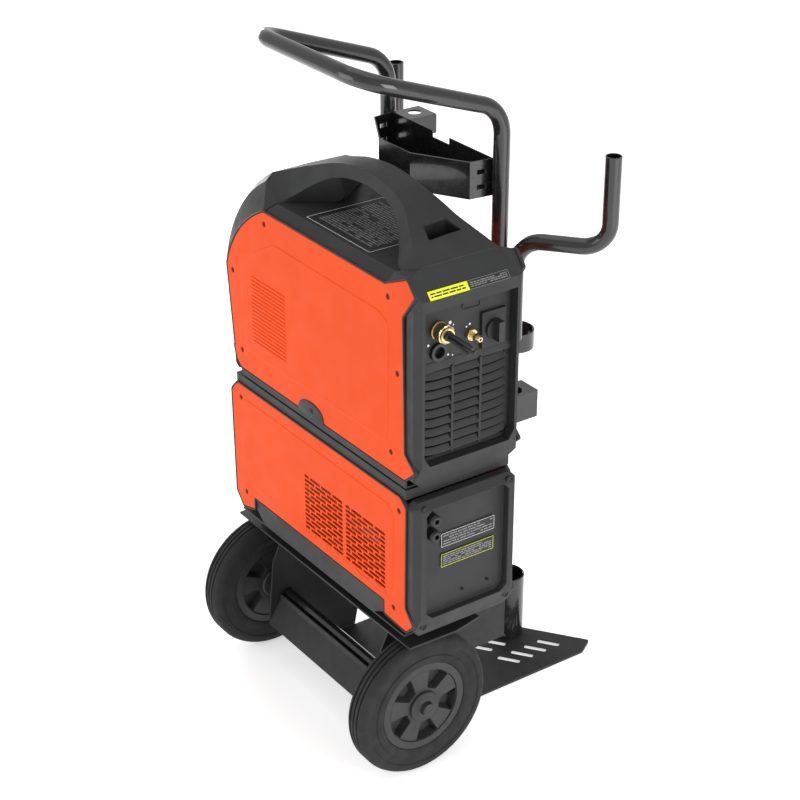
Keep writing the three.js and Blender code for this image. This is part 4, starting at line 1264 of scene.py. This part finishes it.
# rounded copies of the plainer nodes: node, name, edge radius, slot, and the finish where it is another
plainNodes = [
    ("shelf", "shelfPlate", 0.8, "frame_black", "sheet"),
    ("axle_beam", "axleBeam", 0.6, "frame_black", "sheet"),
    ("cross_plate", "crossPlate", 0.8, "frame_black", "sheet"), ("rod_ring", "rodRing", 0.6, "frame_black"),
    ("rod_guide", "rodGuide", 0.8, "frame_black"), ("accessory_tray", "accessoryTray", 0.6, "frame_black"),
    ("torch_bracket", "torchBracket", 0.6, "frame_black"),
    ("side_plate_right", "sidePlate.right", 0.8, "frame_black", "sheet"),
    ("side_plate_left", "sidePlate.left", 0.8, "frame_black", "sheet"),
    # the axle takes the black frame finish in place of steel: painted shade for the dark region under the
    # machine
    ("axle", "axleBar", 1.0, "frame_black"), ("cooler_base", "coolerBase", 0.8, "housing_grey"),
    ("cooler_top", "coolerTop", 1.0, "housing_grey"),
    ("cooler_rear_frame", "coolerRear", 1.4, "housing_grey"),
    ("cooler_front_frame", "coolerFront", 1.4, "housing_grey"),
    ("base_pan", "basePan", 0.8, "housing_grey"), ("front_panel", "frontPanel", 0.6, "housing_grey"),
    ("isolator_plate", "isolatorPlate", 1.0, "housing_grey"),
    ("isolator_knob", "isolatorKnob", 1.2, "fitting_black"),
    ("control_knob", "controlKnob", 0.8, "fitting_black"),
    ("filler_cap", "fillerCap", 1.0, "fitting_black"),
    ("signal_socket", "signalSocket", 0.6, "fitting_black"), ("gas_inlet", "gasInlet", 0.3, "brass"),
    ("torch_socket", "torchSocket", 0.5, "brass"), ("work_socket", "workSocket", 0.6, "fitting_black"),
    ("coolant_coupler_supply", "coupler.supply", 0.5, "fitting_black"),
    ("coolant_coupler_return", "coupler.return", 0.5, "fitting_black"),
    ("fan_frame", "fanFrame", 0.8, "fitting_black"), ("fan_blades", "fanBlades", 0.4, "fitting_black"),
    ("cooler_fan_frame", "coolerFanFrame", 0.8, "fitting_black"),
    ("cooler_fan_blades", "coolerFanBlades", 0.4, "fitting_black"),
    ("foot_rail_rear", "footRail.rear", 1.5, "foot_rubber"),
    ("foot_rail_front", "footRail.front", 1.5, "foot_rubber"),
    ("display_window", "displayWindow", 0.5, "window"), ("coolant_tank", "coolantTank", 2.0, "tank"),
    ("pump", "coolantPump", 1.2, "steel"), ("radiator", "radiatorCore", 0.6, "alloy"),
    ("heatsink", "heatsinkBlock", 0.4, "alloy"), ("transformer", "transformerBlock", 2.0, "steel"),
    ("inverter_board", "inverterBoard", 0.5, "board"),
]


def placeFloor():
    half = studio["floorSize"] / 2
    points, faces = grid(np.array([[[x, y, 0.0] for x in (-half, half)] for y in (-half, half)]))
    mesh = bpy.data.meshes.new("floor")
    mesh.from_pydata((points * mm).tolist(), [], faces)
    floor = bpy.data.objects.new("floor", mesh)
    bpy.context.scene.collection.objects.link(floor)
    paint = Finish("paleFloor", studio["floorColour"], 0.7, Emission_Color=(1, 1, 1, 1),
                   Emission_Strength=studio["floorGlow"])
    paint.roughness(paint.ramp(paint.noise(3, 2), 0.3, 0.7, 0.66, 0.74))
    mesh.materials.append(paint.material)


placeCamera()
placeLamps()
placeFloor()
print("studio: camera, lamps and floor are in place")

makeCores()
makeTubes()
makeWelds()
makeToe()
makeRodHolders()
makeTyres()
makeRims()
print("trolley: tubes, welds, foot plate, rod cup and wheels")
makeSheets()
makeTrims()
makeTabs()
makeScrews()
print("side sheets: two embossed, two perforated, with trims, tabs and screws")
makeHandle()
makeFrontShell()
makeCorners()
softened("top_deck", "topDeck", 0.8, "housing_grey", cutters=[deckCutter()])
softened("rear_frame", "rearShell", 2.2, "housing_grey", cutters=[pocketCutter()])
makeGrille()
makeGland()
makeLabels()
makeRearDetails()
print("power source: handle, shells, grille, gland, labels and small fittings")
for node in plainNodes:
    softened(*node)
print("rounded copies:", len(plainNodes))
